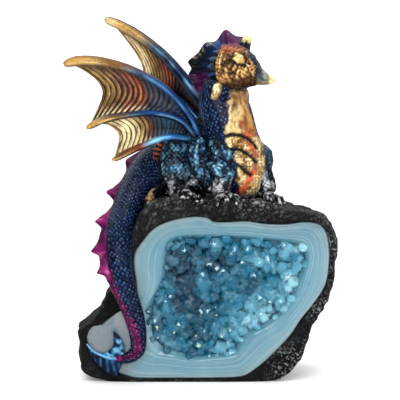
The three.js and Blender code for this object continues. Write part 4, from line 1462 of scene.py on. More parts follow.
@dataclass(frozen=True)
class Spade:
    """The flat blade at the tail's end: a sickle above its midrib and a ribbed half-leaf below."""

    # The sickle's thin edge, like all four lines in the front view.
    sickle_inner: Stations = ((-37.0, 13.0), (-34.8, 10.2), (-31.6, 9.9), (-28.6, 12.2), (-28.6, 17.4))
    # Its thicker edge.
    sickle_outer: Stations = (
        (-37.4, 12.8), (-35.9, 10.6), (-33.0, 9.0), (-29.0, 8.0), (-25.6, 8.4), (-24.9, 11.4),
        (-26.2, 14.9), (-28.6, 17.8),
    )
    # The line between the halves.
    midrib: Stations = ((-37.2, 13.0), (-35.6, 11.0), (-33.0, 9.4), (-29.0, 8.2), (-24.6, 7.8))
    # The half-leaf's edge.
    lower_edge: Stations = (
        (-37.2, 12.9), (-36.0, 9.6), (-34.4, 7.0), (-31.6, 4.2), (-28.2, 2.0), (-26.8, 3.6), (-25.6, 6.6),
    )
    depth: float = -22.9  # y of the blade
    half_thickness: float = 0.55  # of its thicker edges

    def shells(self) -> list[Shell]:
        """A plate on each side of the midrib, which is a tube that is thin at its tip."""
        upper = self._half(self.sickle_inner, self.sickle_outer, 5.0, 0.12, 1.0)
        lower = self._half(self.lower_edge, self.midrib, 7.0, 0.24, 0.1)
        line = from_front(Path(self.midrib).spaced(12), self.depth - 0.5)
        radii = np.interp(np.linspace(0.0, 1.0, 12), (0.0, 0.1, 0.6, 1.0), (0.2, 0.4, 0.55, 0.75))
        rib = loft(np.column_stack([line, radii]).tolist(), (TO_VIEWER,), 60, 14)
        # A painted highlight on the midrib where it faces the front.
        lit = step(0.1, 0.9, -rib.normal[..., 1] + 0.4 * noise(rib.points, 2.0, 151.0))
        return [upper, lower, tube(rib.points, coat(mix(Paint.COBALT, Paint.SKY, 0.7 * lit), 0.55))]

    def _half(self, thin: Stations, thick: Stations, ribs: float, relief: float, shine: float) -> Shell:
        """A plate of straight lines from a thin edge to a thicker one, with ribs across it and painted
        highlights on them.
        """
        columns, rows = 64, 16
        a, b = Path(thin).spaced(columns), Path(thick).spaced(columns)
        v = np.linspace(0.0, 1.0, rows)[:, None]
        u = np.linspace(0.0, 1.0, columns)[None, :]
        middle = from_front(a[None] + v[..., None] * (b - a)[None], self.depth)
        wave = np.sin(2.0 * np.pi * ribs * u + 2.0 * v)
        half = 0.22 + self.half_thickness * v + relief * (0.5 + 0.5 * wave) * np.sin(np.pi * v)
        # Royal where this is high over midnight, with lagoon and sky as painted highlights, more on a half
        # with more shine.
        glow = step(-0.4, 0.9, 0.5 * wave + noise(middle, 1.5, 153.0) + 0.6 * v - 0.3 + 0.45 * shine)
        brushed = step(0.55, 0.95, glow) * step(-0.4, 0.3, noise(middle, 1.2, 155.0))
        colour = layers(
            Paint.MIDNIGHT,
            (Paint.ROYAL, glow),
            (Paint.LAGOON, (0.15 + 0.65 * shine) * step(0.4, 0.8, glow)),
            (Paint.SKY, 0.75 * shine * brushed),
        )
        return plate(middle, half, TO_VIEWER, coat(colour, 0.55))


@dataclass(frozen=True)
class Dragon:
    """The whole dragon, cast as one."""

    trunk: Trunk = Trunk()
    back: Back = Back()
    head: Head = Head()
    limbs: tuple[Limb, ...] = (
        NEAR_ARM, SKIN_FOLD, FAR_ARM, NEAR_THIGH, FAR_THIGH, NEAR_INSTEP, FAR_INSTEP, SEAT, NEAR_ELBOW,
        FOREARM_MUSCLE, WING_SHOULDER, GOLD_RIDGE,
    )
    ladder: Ladder = Ladder()
    paws: tuple[Paw, ...] = (
        Paw((7.0, -16.6, 61.2), -62.0, toe_length=7.0),
        Paw((22.4, -9.2, 60.0), -60.0),
        Paw((-5.0, -13.0, 61.0), -60.0),
        Paw((9.6, 10.4, 59.8), -30.0),
    )
    wings: tuple[Wing, ...] = (NEAR_WING, FAR_WING)
    spade: Spade = Spade()

    def build(self) -> bpy.types.Object:
        """Joins every shell into the casting."""
        shells = [self.trunk.shell(), *self.back.shells(), *self.head.shells(), *self.spade.shells()]
        shells += [limb.shell() for limb in self.limbs] + [self.ladder.shell()]
        shells += [shell for group in (*self.paws, *self.wings) for shell in group.shells()]
        return Casting("dragon_casting").unite(shells)


SPOKES = (
    ((-22.0, 38.8), (-11.2, 38.9)), ((-21.4, 43.1), (-10.9, 42.0)), ((-18.6, 47.2), (-10.3, 45.0)),
    ((-16.2, 50.1), (-9.0, 46.5)), ((-12.7, 52.4), (-6.5, 47.7)), ((-7.5, 54.1), (-3.0, 47.8)),
    ((-1.8, 54.9), (1.0, 47.7)), ((2.5, 54.5), (4.0, 47.8)), ((4.4, 53.3), (6.0, 47.9)),
    ((9.1, 53.1), (9.5, 47.9)), ((15.3, 53.4), (15.0, 47.5)), ((21.0, 52.6), (20.5, 47.2)),
    ((28.1, 52.4), (26.0, 46.7)), ((34.2, 53.1), (30.5, 46.0)), ((38.9, 52.4), (33.0, 45.0)),
    ((41.3, 49.8), (34.0, 43.8)), ((42.4, 45.1), (34.6, 41.3)), ((42.5, 40.3), (34.0, 38.8)),
    ((42.0, 35.1), (32.8, 36.0)), ((40.6, 30.9), (31.4, 32.5)), ((37.1, 25.7), (29.8, 28.6)),
    ((33.3, 21.0), (27.8, 25.0)), ((29.5, 15.2), (22.4, 20.0)), ((23.8, 9.1), (16.2, 17.0)),
    ((19.0, 4.8), (13.0, 13.5)), ((13.9, 1.9), (10.8, 10.2)), ((5.0, 1.4), (4.4, 9.1)),
    ((-5.0, 1.3), (-2.7, 8.6)), ((-14.0, 1.3), (-7.5, 10.3)), ((-21.7, 1.4), (-11.5, 11.4)),
    ((-27.4, 3.2), (-13.6, 13.0)), ((-31.0, 5.6), (-15.0, 14.8)), ((-34.0, 8.6), (-15.8, 17.0)),
    ((-36.9, 12.8), (-15.6, 19.0)), ((-37.2, 16.4), (-16.0, 20.6)), ((-35.3, 18.6), (-16.2, 21.8)),
    ((-33.0, 18.6), (-16.3, 22.8)), ((-31.2, 20.2), (-16.2, 24.2)), ((-26.7, 23.5), (-15.6, 26.0)),
    ((-23.8, 24.3), (-14.8, 28.0)), ((-21.4, 27.2), (-13.6, 30.3)), ((-21.1, 32.2), (-12.0, 34.0)),
)


def spoke_lines(count: int) -> tuple[Array, Array]:
    """Points round the agate's outer edge and, matching them, round the hollow's edge, in x and z."""
    rows = Path([(*outer, *inner) for outer, inner in SPOKES], closed=True).spaced(count)
    return rows[:, :2], rows[:, 2:]


def set_out(places: Array, depth: Array | float) -> Array:
    """Points from x and z places and a depth in y."""
    y = np.broadcast_to(np.asarray(depth, float), places.shape[:-1])
    return np.stack([places[..., 0], y, places[..., 1]], axis=-1)


@dataclass(frozen=True)
class Rock:
    """The black outer rock: a lumpy body with a pocket in its sawn face and a flat underside."""

    # X and z of its edge in the front view.
    outline: Stations = (
        (-27.5, 34.0), (-25.6, 39.5), (-24.0, 45.5), (-21.4, 51.6), (-18.0, 57.0), (-12.5, 60.0),
        (-3.3, 60.4), (8.2, 60.0), (19.8, 59.6), (27.4, 57.5), (35.1, 56.0), (39.9, 54.8), (43.0, 51.9),
        (44.1, 48.6), (45.0, 44.1), (45.2, 39.4), (44.7, 33.7), (42.7, 29.0), (41.0, 24.2), (39.2, 20.4),
        (37.1, 16.7), (34.9, 10.6), (32.0, 4.8), (28.1, 1.5), (23.8, 0.0), (11.6, -0.4), (-12.2, -0.4),
        (-27.7, -0.4), (-32.8, 0.4), (-37.1, 1.7), (-39.4, 4.3), (-39.9, 11.8), (-40.5, 16.2),
        (-38.9, 17.9), (-36.4, 19.8), (-33.5, 23.0), (-31.3, 28.2),
    )
    sides: int = 340  # points round each ring
    depth: float = 52.0  # from the sawn face to the back
    centre: tuple[float, float] = (2.0, 28.0)  # x and z that the pocket's floor is drawn in to
    pocket_depth: float = 13.3  # depth of the pocket
    bevel: float = 1.6  # how far the rim's outer edge lies behind the sawn face
    lump: float = 1.0  # height of the large lumps

    def build(self) -> bpy.types.Object:
        """Lifts the rings by lumps of noise that die out in the pocket and at the flat underside."""
        points, inside = self._rings()
        outside = np.arange(len(points))[:, None] > inside
        fade = step(0.6, 7.0, points[..., 2]) * outside
        out = unit(points - np.array([self.centre[0], 0.0, 26.0]))
        coarse, fine = fractal(points, 9.0, 161.0, 4), fractal(points, 1.6, 163.0, 2)
        chipped = 0.5 * np.abs(noise(points, 3.4, 165.0))
        points = points + out * (fade * (self.lump * coarse - 0.35 + 0.38 * fine + chipped))[..., None]
        points[..., 2] = np.maximum(points[..., 2], 0.0)
        points[..., 1] = np.maximum(points[..., 1], FACE_Y)
        return Casting("rock_shell").unite([tube(points, self._paint(points, coarse, fine))])

    def _rings(self) -> tuple[Array, int]:
        """Rings from the pocket's floor, over the rim and along the body to the back.

        A ring of the body is the outline drawn in by a share that falls slowly to the back.
        """
        outline = Path(self.outline, closed=True).spaced(self.sides)
        pocket, _ = spoke_lines(self.sides)
        pocket = pocket[(np.arange(self.sides) + self._turn(outline, pocket)) % self.sides]
        centre, below = np.array(self.centre), np.array([self.centre[0], 0.0])
        floor = FACE_Y + self.pocket_depth
        rings = [set_out(centre + (pocket - centre) * share, floor) for share in (0.3, 0.8, 1.0)]
        rings += [set_out(pocket, FACE_Y + y) for y in (8.0, 4.0, 1.2)]
        inside = len(rings)
        for share in np.linspace(0.0, 1.0, 12):
            rim = pocket + (outline - pocket) * share
            drop = 0.9 * (1.0 - share) ** 2 + self.bevel * share**2.2
            rings.append(set_out(rim + (centre - rim) * 0.012 * share**3, FACE_Y + drop))
        for t in 1.0 - (1.0 - np.linspace(0.05, 1.0, 90)) ** 1.25:
            share = max(0.3, (1.0 - t**6) ** 0.42)
            y = FACE_Y + self.bevel + (self.depth - self.bevel) * t
            rings.append(set_out(below + (outline - below) * share, y))
        return np.array(rings), inside

    @staticmethod
    def _turn(outline: Array, pocket: Array) -> int:
        """How many points the pocket is turned by to lie nearest to the outline."""
        turns = range(0, len(outline), 2)
        sums = [np.sum(np.linalg.norm(outline - np.roll(pocket, -k, axis=0), axis=1)) for k in turns]
        return turns[int(np.argmin(sums))]

    @staticmethod
    def _paint(points: Array, coarse: Array, fine: Array) -> Array:
        """Charcoal with a little silver dragged over its high spots, and brown at the lower left."""
        x, y, z = np.moveaxis(points, -1, 0)
        patch = step(0.0, 0.6, noise(points, 11.0, 171.0) + 0.4 * coarse)
        grit = step(0.3, 0.8, 0.5 * fine + 0.8 * noise(points, 0.6, 173.0))
        streak = step(0.3, 0.8, noise(points * np.array([0.3, 1.0, 1.0]), 0.9, 175.0))
        top = step(48.0, 56.0, z) * step(-2.0, -10.0, x)
        edge = step(30.0, 42.0, x) * (0.2 + 0.8 * step(2.0, -12.0, y))
        crest = step(52.0, 57.0, z) * step(6.0, 12.0, x) * step(34.0, 26.0, x)
        by_paws = step(57.6, 59.6, z) * step(0.0, -10.0, y) * step(26.0, 20.0, x)
        corner = step(20.0, 28.0, x) * step(16.0, 8.0, z) * step(-8.0, -16.0, y)
        earth = step(-34.0, -38.5, x) * step(22.0, 16.0, z)
        grain = 0.02 + 0.05 * patch + 0.06 * edge + 0.1 * crest + 0.3 * by_paws
        dust = grit * grain + 0.16 * streak * top
        drag = 0.06 * patch + (0.25 + 0.5 * patch) * edge + 0.22 * crest + 0.3 * by_paws + 0.7 * corner
        stone = mix(Paint.CHARCOAL, Paint.ASH, 0.1 * step(-0.2, 0.7, coarse))
        brush = mix(Paint.SILVER, Paint.BRONZE, 0.8 * earth)
        return coat(mix(stone, brush, np.clip(dust, 0.0, 0.7)), np.clip(drag, 0.0, 1.0))


@dataclass(frozen=True)
class Agate:
    """The pale banded slab between the rock and the crystals, polished, with a soft inner lip."""

    back_depth: float = 12.6  # depth of its back behind the sawn face
    lip_depth: float = 2.4  # how far its inner edge dips
    hollow_centre: tuple[float, float] = (7.0, 30.0)  # x and z that the hollow's wall leans in to
    sides: int = 420  # points round each ring

    def build(self) -> bpy.types.Object:
        """A ring of rings: the polished face from its outer to its inner edge, the hollow's wall, the back.

        The paint holds numbers for the finish: the share across the slab, and how grey it is.
        """
        outer, inner = spoke_lines(self.sides)
        share = np.linspace(0.0, 1.0, 56)[:, None, None]
        flat = outer[None] + share * (inner - outer)[None]
        waves = 0.22 * noise(set_out(flat, 0.0), 7.0, 181.0) + 0.08 * noise(set_out(flat, 0.0), 2.0, 183.0)
        edge = 0.9 * (1.0 - step(0.0, 0.05, share[..., 0]))
        lip = self.lip_depth * step(0.72, 1.1, share[..., 0]) ** 1.5
        face = set_out(flat, FACE_Y + 0.25 + edge + lip + waves)
        floor = inner + (np.array(self.hollow_centre) - inner) * 0.06
        walls = [set_out(floor, FACE_Y + 6.0), set_out(floor, FACE_Y + self.back_depth)]
        backs = [set_out(outer, FACE_Y + self.back_depth), set_out(outer, FACE_Y + 4.0)]
        points = np.concatenate([face, np.array(walls), np.array(backs)])
        band = np.concatenate([share[:, 0, 0], [1.0, 1.0], [0.0, 0.0]])
        band = np.broadcast_to(band[:, None], points.shape[:-1])
        colour = np.zeros(points.shape[:-1] + (3,))
        colour[..., 0] = band
        colour[..., 1] = self._lobe(points)
        return Casting("agate_slab", fillet_passes=0).unite([hoop(points, coat(colour, 1.0))])

    @staticmethod
    def _lobe(points: Array) -> Array:
        """How grey the agate is: 1 in the lobe at the lower left behind the tail, 0 elsewhere."""
        return step(-21.0, -25.0, points[..., 0]) * step(27.0, 23.0, points[..., 2])


@dataclass(frozen=True)
class Crystals:
    """Rounded crystal chips crowded over the floor of the hollow, with flakes of glitter on some."""

    centre: tuple[float, float] = (7.0, 29.0)  # x and z of the hollow's middle
    spacing: float = 2.5  # distance between chips
    floor_depth: float = 8.6  # depth of the hollow
    chip_radius: tuple[float, float] = (1.6, 2.8)  # least and greatest radius of a chip
    glitter: int = 54
    seed: int = 7

    def build(self) -> bpy.types.Object:
        """Draws the chips in their order, then the flakes."""
        draw = np.random.default_rng(self.seed)
        places, deep, shares = self._scatter(draw)
        chips = [self._chip(x, z, d, s, draw) for (x, z), d, s in zip(places, deep, shares)]
        chosen = draw.choice(len(places), self.glitter, replace=False)
        flakes = [self._flake(chips[k].points, draw) for k in chosen]
        return Casting("crystal_cluster", fillet_passes=0).unite([self._bed(), *chips, *flakes])

    def _edge(self, count: int) -> Array:
        """The hollow's edge."""
        return spoke_lines(count)[1]

    def _scatter(self, draw: np.random.Generator) -> tuple[Array, Array, Array]:
        """Rings drawn in from the hollow's edge, each with as many chips as fit, shifted a little."""
        edge, centre = self._edge(360), np.array(self.centre)
        places, deep, shares = [], [], []
        for share in np.arange(1.02, 0.05, -0.09):
            ring = centre + (edge - centre) * share
            length = np.sum(np.linalg.norm(np.diff(ring, axis=0, append=ring[:1]), axis=1))
            count = max(3, int(length / self.spacing))
            even = (np.arange(count) + draw.uniform(0.0, 1.0)) * 360 / count
            index = (even + draw.uniform(-2.5, 2.5, count)).astype(int) % 360
            index = index[draw.uniform(0.0, 1.0, count) < (0.5 if share > 1.0 else 1.0)]
            places.append(ring[index] + draw.normal(0.0, 0.35 + 0.1 * (share > 0.9), (len(index), 2)))
            shift = draw.uniform(-0.7, 0.9, len(index)) * min(1.0, 4.0 * abs(1.1 - share))
            deep.append(np.full(len(index), self._depth(share)) + shift)
            shares.append(np.full(len(index), share))
        return np.concatenate(places), np.concatenate(deep), np.concatenate(shares)

    def _depth(self, share: float) -> float:
        """Depth of the chips behind the sawn face: a bowl, deepest in the middle."""
        bowl = (self.floor_depth - 4.0) * (1.0 - min(share, 1.0) ** 2.4)
        return 2.0 + bowl - 16.0 * max(share - 1.0, 0.0)

    def _bed(self) -> Shell:
        """Rings of a dish, and of the even back behind it."""
        edge, centre = self._edge(160), np.array(self.centre)
        shares = np.array([0.1, 0.3, 0.5, 0.7, 0.85, 0.95, 1.0])[:, None, None]
        flat = centre + (edge - centre)[None] * shares
        dish = set_out(flat, FACE_Y + 0.1 + np.array([self._depth(s) for s in shares[:, 0, 0]])[:, None])
        back = set_out(flat[::-1], FACE_Y + self.floor_depth + 2.6)
        points = np.concatenate([dish, back])
        # A dark copy of the chips' water tint, painted as the shade between the chips.
        colour = np.broadcast_to(Paint.WATER.linear * 0.45, points.shape)
        return tube(points, coat(colour, 0.0))

    def _tint(self, x: float, z: float, share: float, luck: float) -> Array:
        """Deep teal at the left, lighter to the right, below and at the hollow's edge; the slope across is
        painted shade in the hollow.
        """
        cloud = float(noise(np.array([x, 0.0, z]), 6.5, 191.0))
        rim = float(step(0.45, 1.0, np.array(share)))
        frost = float(step(0.86, 1.0, np.array(share)) * step(-4.0, -10.0, np.array(x))) * luck
        # Painted shade in the hollow: darker to the left and towards the top.
        place = 0.23 + 0.015 * (x - 7.0) - 0.004 * (z - 28.0)
        light = place + 0.3 * (luck - 0.5) + 0.3 * cloud + 0.27 * rim
        stops = [(0.0, Paint.DEEP_WATER), (0.4, Paint.WATER), (0.8, Paint.PALE_WATER), (1.1, Paint.ICE)]
        return mix(ramp(np.array(min(light, 0.92)), stops), 0.72 * Paint.ICE.linear, 0.28 * frost)

    def _chip(self, x: float, z: float, deep: float, share: float, draw: np.random.Generator) -> Shell:
        """A rounded block: a ball of rings, each of its coordinates raised to a power below one."""
        rings, sides = 5, 8
        radius = draw.uniform(*self.chip_radius) * (1.0 - draw.uniform(0.1, 0.55) * share**5)
        polar = np.linspace(0.0, np.pi, rings + 2)[1:-1, None]
        turn = np.linspace(0.0, 2.0 * np.pi, sides, endpoint=False)[None, :]
        ball = (np.sin(polar) * np.cos(turn), np.sin(polar) * np.sin(turn), np.cos(polar))
        raw = np.stack(np.broadcast_arrays(*ball), axis=-1)
        blocky = np.sign(raw) * np.abs(raw) ** draw.uniform(0.5, 0.8)
        stretch = draw.uniform(0.7, 1.15, 3)
        spin, _ = np.linalg.qr(draw.normal(size=(3, 3)))
        local = (blocky * stretch * radius) @ spin * np.array([1.0, 0.85, 1.0])
        points = local + np.array([x, FACE_Y + deep, z])
        # Painted shade: each chip is dark towards its back and lighter at its front.
        top = step(0.5, -0.9, local[..., 1] / radius)
        tint = self._tint(x, z, share, draw.uniform())
        colour = mix(tint * 0.25, tint * 1.08, top)
        return tube(points, coat(colour, 0.0))

    def _flake(self, chip: Array, draw: np.random.Generator) -> Shell:
        """A six-sided fleck of glitter on the front of a chip."""
        tip = chip[np.argmin(chip[:, 1])]
        size = draw.uniform(0.12, 0.26)
        turn = np.linspace(0.0, 2.0 * np.pi, 6, endpoint=False)
        disc = np.stack([np.cos(turn), np.zeros(6), np.sin(turn)], axis=1) * size
        lean = draw.normal(0.0, 0.35, 2)
        disc[:, 1] = disc[:, 0] * lean[0] + disc[:, 2] * lean[1]
        middle = tip + np.array([*draw.normal(0.0, 0.25, 1), 0.0, *draw.normal(0.0, 0.25, 1)])
        points = np.stack([middle + disc + [0.0, 0.25, 0.0], middle + disc + [0.0, -0.08, 0.0]])
        green = middle[0] < 0.0 and middle[2] < 22.0 and draw.uniform() < 0.7
        paint = Paint.LEAF if green else Paint.ICE
        return tube(points, coat(np.broadcast_to(paint.linear, points.shape), 1.0))


class Sock:
    """A shader socket that takes part in Python sums: each operator adds a Math node."""

    def __init__(self, kit: "NodeKit", socket: bpy.types.NodeSocket) -> None:
        self.kit = kit
        self.socket = socket

    def __add__(self, other: "Sock | float") -> "Sock":
        """Sum."""
        return self.kit.math("ADD", self, other)

    def __radd__(self, other: float) -> "Sock":
        """Sum, with the number first."""
        return self.kit.math("ADD", other, self)

    def __sub__(self, other: "Sock | float") -> "Sock":
        """Difference."""
        return self.kit.math("SUBTRACT", self, other)

    def __rsub__(self, other: float) -> "Sock":
        """Difference, with the number first."""
        return self.kit.math("SUBTRACT", other, self)

    def __mul__(self, other: "Sock | float") -> "Sock":
        """Product."""
        return self.kit.math("MULTIPLY", self, other)

    def __rmul__(self, other: float) -> "Sock":
        """Product, with the number first."""
        return self.kit.math("MULTIPLY", other, self)


class NodeKit:
    """Makes one material's nodes."""

    def __init__(self, name: str) -> None:
        """Starts a material with a Principled shader."""
        self.material = bpy.data.materials.new(name)
        self.material.use_nodes = True
        self.tree = self.material.node_tree
        self.shader = next(node for node in self.tree.nodes if node.type == "BSDF_PRINCIPLED")

    def node(
        self, kind: str, settings: dict[str, object], inputs: dict[str | int, object], output: str | int = 0
    ) -> Sock:
        """Adds a node.

        Args:
            kind: the node's type.
            settings: properties that are set first. A ramp's stops are given as "stops".
            inputs: values or sockets for its inputs, by name or number.
            output: which output is returned.

        Returns:
            That output.
        """
        made = self.tree.nodes.new(kind)
        for key, value in settings.items():
            if key == "stops":
                self._stops(made.color_ramp, value)
            else:
                setattr(made, key, value)
        for key, value in inputs.items():
            self.plug(made.inputs[key], value)
        return Sock(self, made.outputs[output])

    @staticmethod
    def _stops(band: bpy.types.ColorRamp, stops: Sequence[tuple[float, Array]]) -> None:
        """Sets a ramp's stops from places and linear colours."""
        while len(band.elements) < len(stops):
            band.elements.new(0.5)
        for element, (place, colour) in zip(band.elements, stops):
            element.position = place
            element.color = (*colour, 1.0)

    def plug(self, socket: bpy.types.NodeSocket, value: object) -> None:
        """Links a socket or sets its value."""
        if isinstance(value, Sock):
            self.tree.links.new(value.socket, socket)
        else:
            socket.default_value = value

    def math(self, operation: str, first: Sock | float, second: Sock | float) -> Sock:
        """Adds a Math node."""
        return self.node("ShaderNodeMath", {"operation": operation}, {0: first, 1: second})

    def attribute(self, name: str, output: str) -> Sock:
        """Reads an attribute of the mesh."""
        return self.node("ShaderNodeAttribute", {"attribute_name": name}, {}, output)

    def parts(self, vector: Sock) -> list[Sock]:
        """The three numbers of a vector."""
        first = self.node("ShaderNodeSeparateXYZ", {}, {0: vector}, 0)
        return [Sock(self, output) for output in first.socket.node.outputs]

    def grain(self, scale: float, detail: float) -> Sock:
        """Noise on object coordinates, scale counted per metre."""
        place = self.node("ShaderNodeTexCoord", {}, {}, "Object")
        inputs = {"Vector": place, "Scale": scale, "Detail": detail}
        return self.node("ShaderNodeTexNoise", {}, inputs, "Fac")

    def blend(self, share: Sock | float, first: object, second: object, mode: str = "MIX") -> Sock:
        """Mixes two colours."""
        settings = {"data_type": "RGBA", "blend_type": mode}
        return self.node("ShaderNodeMix", settings, {0: share, 6: first, 7: second}, 2)

    def clamp_step(self, low: float, high: float, value: Sock) -> Sock:
        """Smooth step between two values."""
        settings = {"interpolation_type": "SMOOTHSTEP"}
        return self.node("ShaderNodeMapRange", settings, {0: value, 1: low, 2: high, 3: 0.0, 4: 1.0})

    def bump(self, height: Sock, strength: float, distance: float) -> Sock:
        """Turns a height into a normal."""
        inputs = {"Height": height, "Strength": strength, "Distance": distance}
        return self.node("ShaderNodeBump", {}, inputs, "Normal")

    def finish(self, **inputs: object) -> bpy.types.Material:
        """Feeds the shader, spaces in its input names given as underscores."""
        for key, value in inputs.items():
            self.plug(self.shader.inputs[key.replace("_", " ")], value)
        return self.material


@dataclass(frozen=True)
class CastingFinish:
    """Metallic paints brushed over cast resin under a thin lacquer."""

    name: str = "painted_resin"
    roughness: float = 0.24  # of the paint where its grain is lowest
    lacquer: float = 0.12  # weight of the coat
    grain_scale: float = 900.0  # fineness of the grain, per metre
    scale_pitch: float = 1.15  # size of a scale in millimetres
    gap: Colour = (0.0, 0.0, 0.004, 1.0)  # dark paint between the scales, which is also painted shade
    glint: Colour = (0.16, 0.34, 0.5, 1.0)  # colour added on the scales' tops
    wear: Colour = (0.25, 0.25, 0.3, 1.0)  # colour that worn places are multiplied by
    sheen: Colour = (0.6, 0.6, 0.65, 1.0)  # tint of the paint's own highlights

    def _scales(self, kit: NodeKit) -> tuple[Sock, Sock, Sock]:
        """Round scales in staggered rows over the skins that ask for them.

        They are the cells of a loose square lattice that is turned by an eighth of a circle.
        """
        girth, run, share = kit.parts(kit.attribute("scales", "Vector"))
        turn = math.sqrt(0.5) / self.scale_pitch
        place = kit.node("ShaderNodeCombineXYZ", {}, {0: (girth + run) * turn, 1: (girth - run) * turn})
        inputs = {"Vector": place, "Scale": 1.0, "Randomness": 0.45}
        far = kit.node("ShaderNodeTexVoronoi", {"voronoi_dimensions": "2D"}, inputs, "Distance")
        luck = kit.parts(Sock(kit, far.socket.node.outputs["Color"]))[0]
        gap = kit.clamp_step(0.34, 0.56, far) * share
        top = kit.clamp_step(0.3, 0.08, far) * kit.clamp_step(0.1, 0.9, luck) * share
        return gap, top, kit.clamp_step(0.6, 0.05, far) * share

    def material(self) -> bpy.types.Material:
        """Reads the brushed paint from the mesh, mottles it, and lays scales, with painted shade between
        them and painted highlights on them, and a fine grain over it.
        """
        kit = NodeKit(self.name)
        bare, metal = kit.attribute("paint", "Color"), kit.attribute("paint", "Alpha")
        gap, top, height = self._scales(kit)
        # Painted shade in the gaps between the scales, then a painted highlight on their tops.
        paint = kit.blend(0.85 * gap, bare, self.gap)
        paint = kit.blend(0.4 * top, paint, self.glint, "ADD")
        fine, broad = kit.grain(self.grain_scale, 3.0), kit.grain(180.0, 2.0)
        rubbed = kit.clamp_step(0.5, 0.64, kit.grain(1200.0, 2.0))
        worn = 0.3 * kit.clamp_step(0.45, 0.75, broad) + 0.4 * rubbed
        dim = kit.blend(worn, paint, self.wear, "MULTIPLY")
        bump = kit.bump(0.3 * fine + height, 0.6, 0.0004)
        return kit.finish(
            Base_Color=dim, Metallic=metal, Roughness=self.roughness + 0.2 * fine, Coat_Weight=self.lacquer,
            Coat_Roughness=0.1, Specular_IOR_Level=0.1, Specular_Tint=self.sheen, Normal=bump,
        )


@dataclass(frozen=True)
class RockFinish:
    """Matt charcoal paint with dragged silver."""

    name: str = "charcoal_rock"
    roughness: float = 0.62  # of the paint where its grain is lowest
    silver: Colour = (0.3, 0.31, 0.32, 1.0)  # colour of the dragged specks

    def material(self) -> bpy.types.Material:
        """Reads the dragged paint from the mesh and gives it a gritty grain."""
        kit = NodeKit(self.name)
        paint, fine = kit.attribute("paint", "Color"), kit.grain(1400.0, 4.0)
        speck = kit.clamp_step(0.5, 0.68, kit.grain(1300.0, 5.0)) * kit.attribute("paint", "Alpha")
        colour = kit.blend(0.75 * speck, paint, self.silver)
        bump = kit.bump(fine, 0.45, 0.0004)
        return kit.finish(
            Base_Color=colour, Roughness=self.roughness + 0.2 * fine, Specular_IOR_Level=0.06, Normal=bump,
        )


@dataclass(frozen=True)
class AgateFinish:
    """Polished resin agate: fine bands that follow the slab's edge, from grey white to sky blue."""

    name: str = "banded_agate"
    bands: float = 18.0  # noise cells across the slab for the pale bands
    hairlines: float = 34.0  # the same for the dark lines
    # Colours from the slab's outer to its inner edge.
    base: tuple[tuple[float, Point], ...] = (
        (0.0, (0.19, 0.265, 0.285)), (0.14, (0.175, 0.29, 0.325)), (0.32, (0.118, 0.28, 0.352)),
        (0.55, (0.094, 0.256, 0.334)), (0.78, (0.086, 0.25, 0.33)), (0.9, (0.08, 0.235, 0.31)),
        (1.0, (0.06, 0.19, 0.25)),
    )
    pale: Colour = (0.28, 0.4, 0.45, 1.0)  # colour of the pale bands
    wisp: Colour = (0.26, 0.42, 0.48, 1.0)  # colour of the pale clouds
    line: Colour = (0.06, 0.19, 0.27, 1.0)  # colour of the dark lines
    # Dark and light grey of the lobe behind the tail.
    greys: tuple[Colour, Colour] = ((0.14, 0.17, 0.19, 1.0), (0.3, 0.33, 0.34, 1.0))
    shade: Colour = (0.0, 0.0, 0.0, 1.0)  # what the whole slab is darkened with, most at its top

    def material(self) -> bpy.types.Material:
        """Bands by the share across the slab, from noise stretched along its edge, under a glossy coat."""
        kit = NodeKit(self.name)
        share, lobe = kit.parts(kit.attribute("paint", "Vector"))[:2]
        x, _, z = kit.parts(kit.node("ShaderNodeTexCoord", {}, {}, "Object"))
        wander = share + 0.2 * (kit.grain(55.0, 2.0) - 0.5) + 0.06 * (kit.grain(260.0, 3.0) - 0.5)
        base = kit.node("ShaderNodeValToRGB", {"stops": self.base}, {"Fac": wander}, "Color")
        pale_band = self._band(kit, (wander, x, z), self.bands, 0.48, 0.62)
        dark_band = self._band(kit, (wander, x, z), self.hairlines, 0.54, 0.62)
        fade = kit.clamp_step(0.95, 0.7, share)
        pale = kit.blend(0.42 * pale_band * fade, base, self.pale)
        cloud = kit.clamp_step(0.52, 0.72, kit.grain(75.0, 4.0))
        pale = kit.blend(0.4 * cloud, pale, self.wisp)
        lined = kit.blend(0.55 * dark_band, pale, self.line)
        streak = kit.clamp_step(0.35, 0.65, kit.grain(160.0, 4.0))
        colour = kit.blend(0.85 * lobe, lined, kit.blend(0.7 * streak, *self.greys))
        colour = kit.blend(0.12 + 0.14 * kit.clamp_step(0.04, 0.052, z), colour, self.shade)
        return kit.finish(
            Base_Color=colour, Roughness=0.2 + 0.12 * pale_band, Coat_Weight=0.3, Coat_Roughness=0.08,
            Subsurface_Weight=0.15, Subsurface_Radius=(0.5, 0.8, 1.0), Subsurface_Scale=0.002,
            Normal=kit.bump(kit.grain(260.0, 3.0), 0.12, 0.0006),
        )

    @staticmethod
    def _band(kit: NodeKit, place: tuple[Sock, Sock, Sock], count: float, low: float, high: float) -> Sock:
        """Irregular bands: noise that changes fast across the slab and slowly along it."""
        share, x, z = place
        vector = kit.node("ShaderNodeCombineXYZ", {}, {0: share * count, 1: x * 28.0, 2: z * 28.0})
        wave = kit.node("ShaderNodeTexNoise", {}, {"Vector": vector, "Scale": 1.0, "Detail": 2.0}, "Fac")
        return kit.clamp_step(low, high, wave)


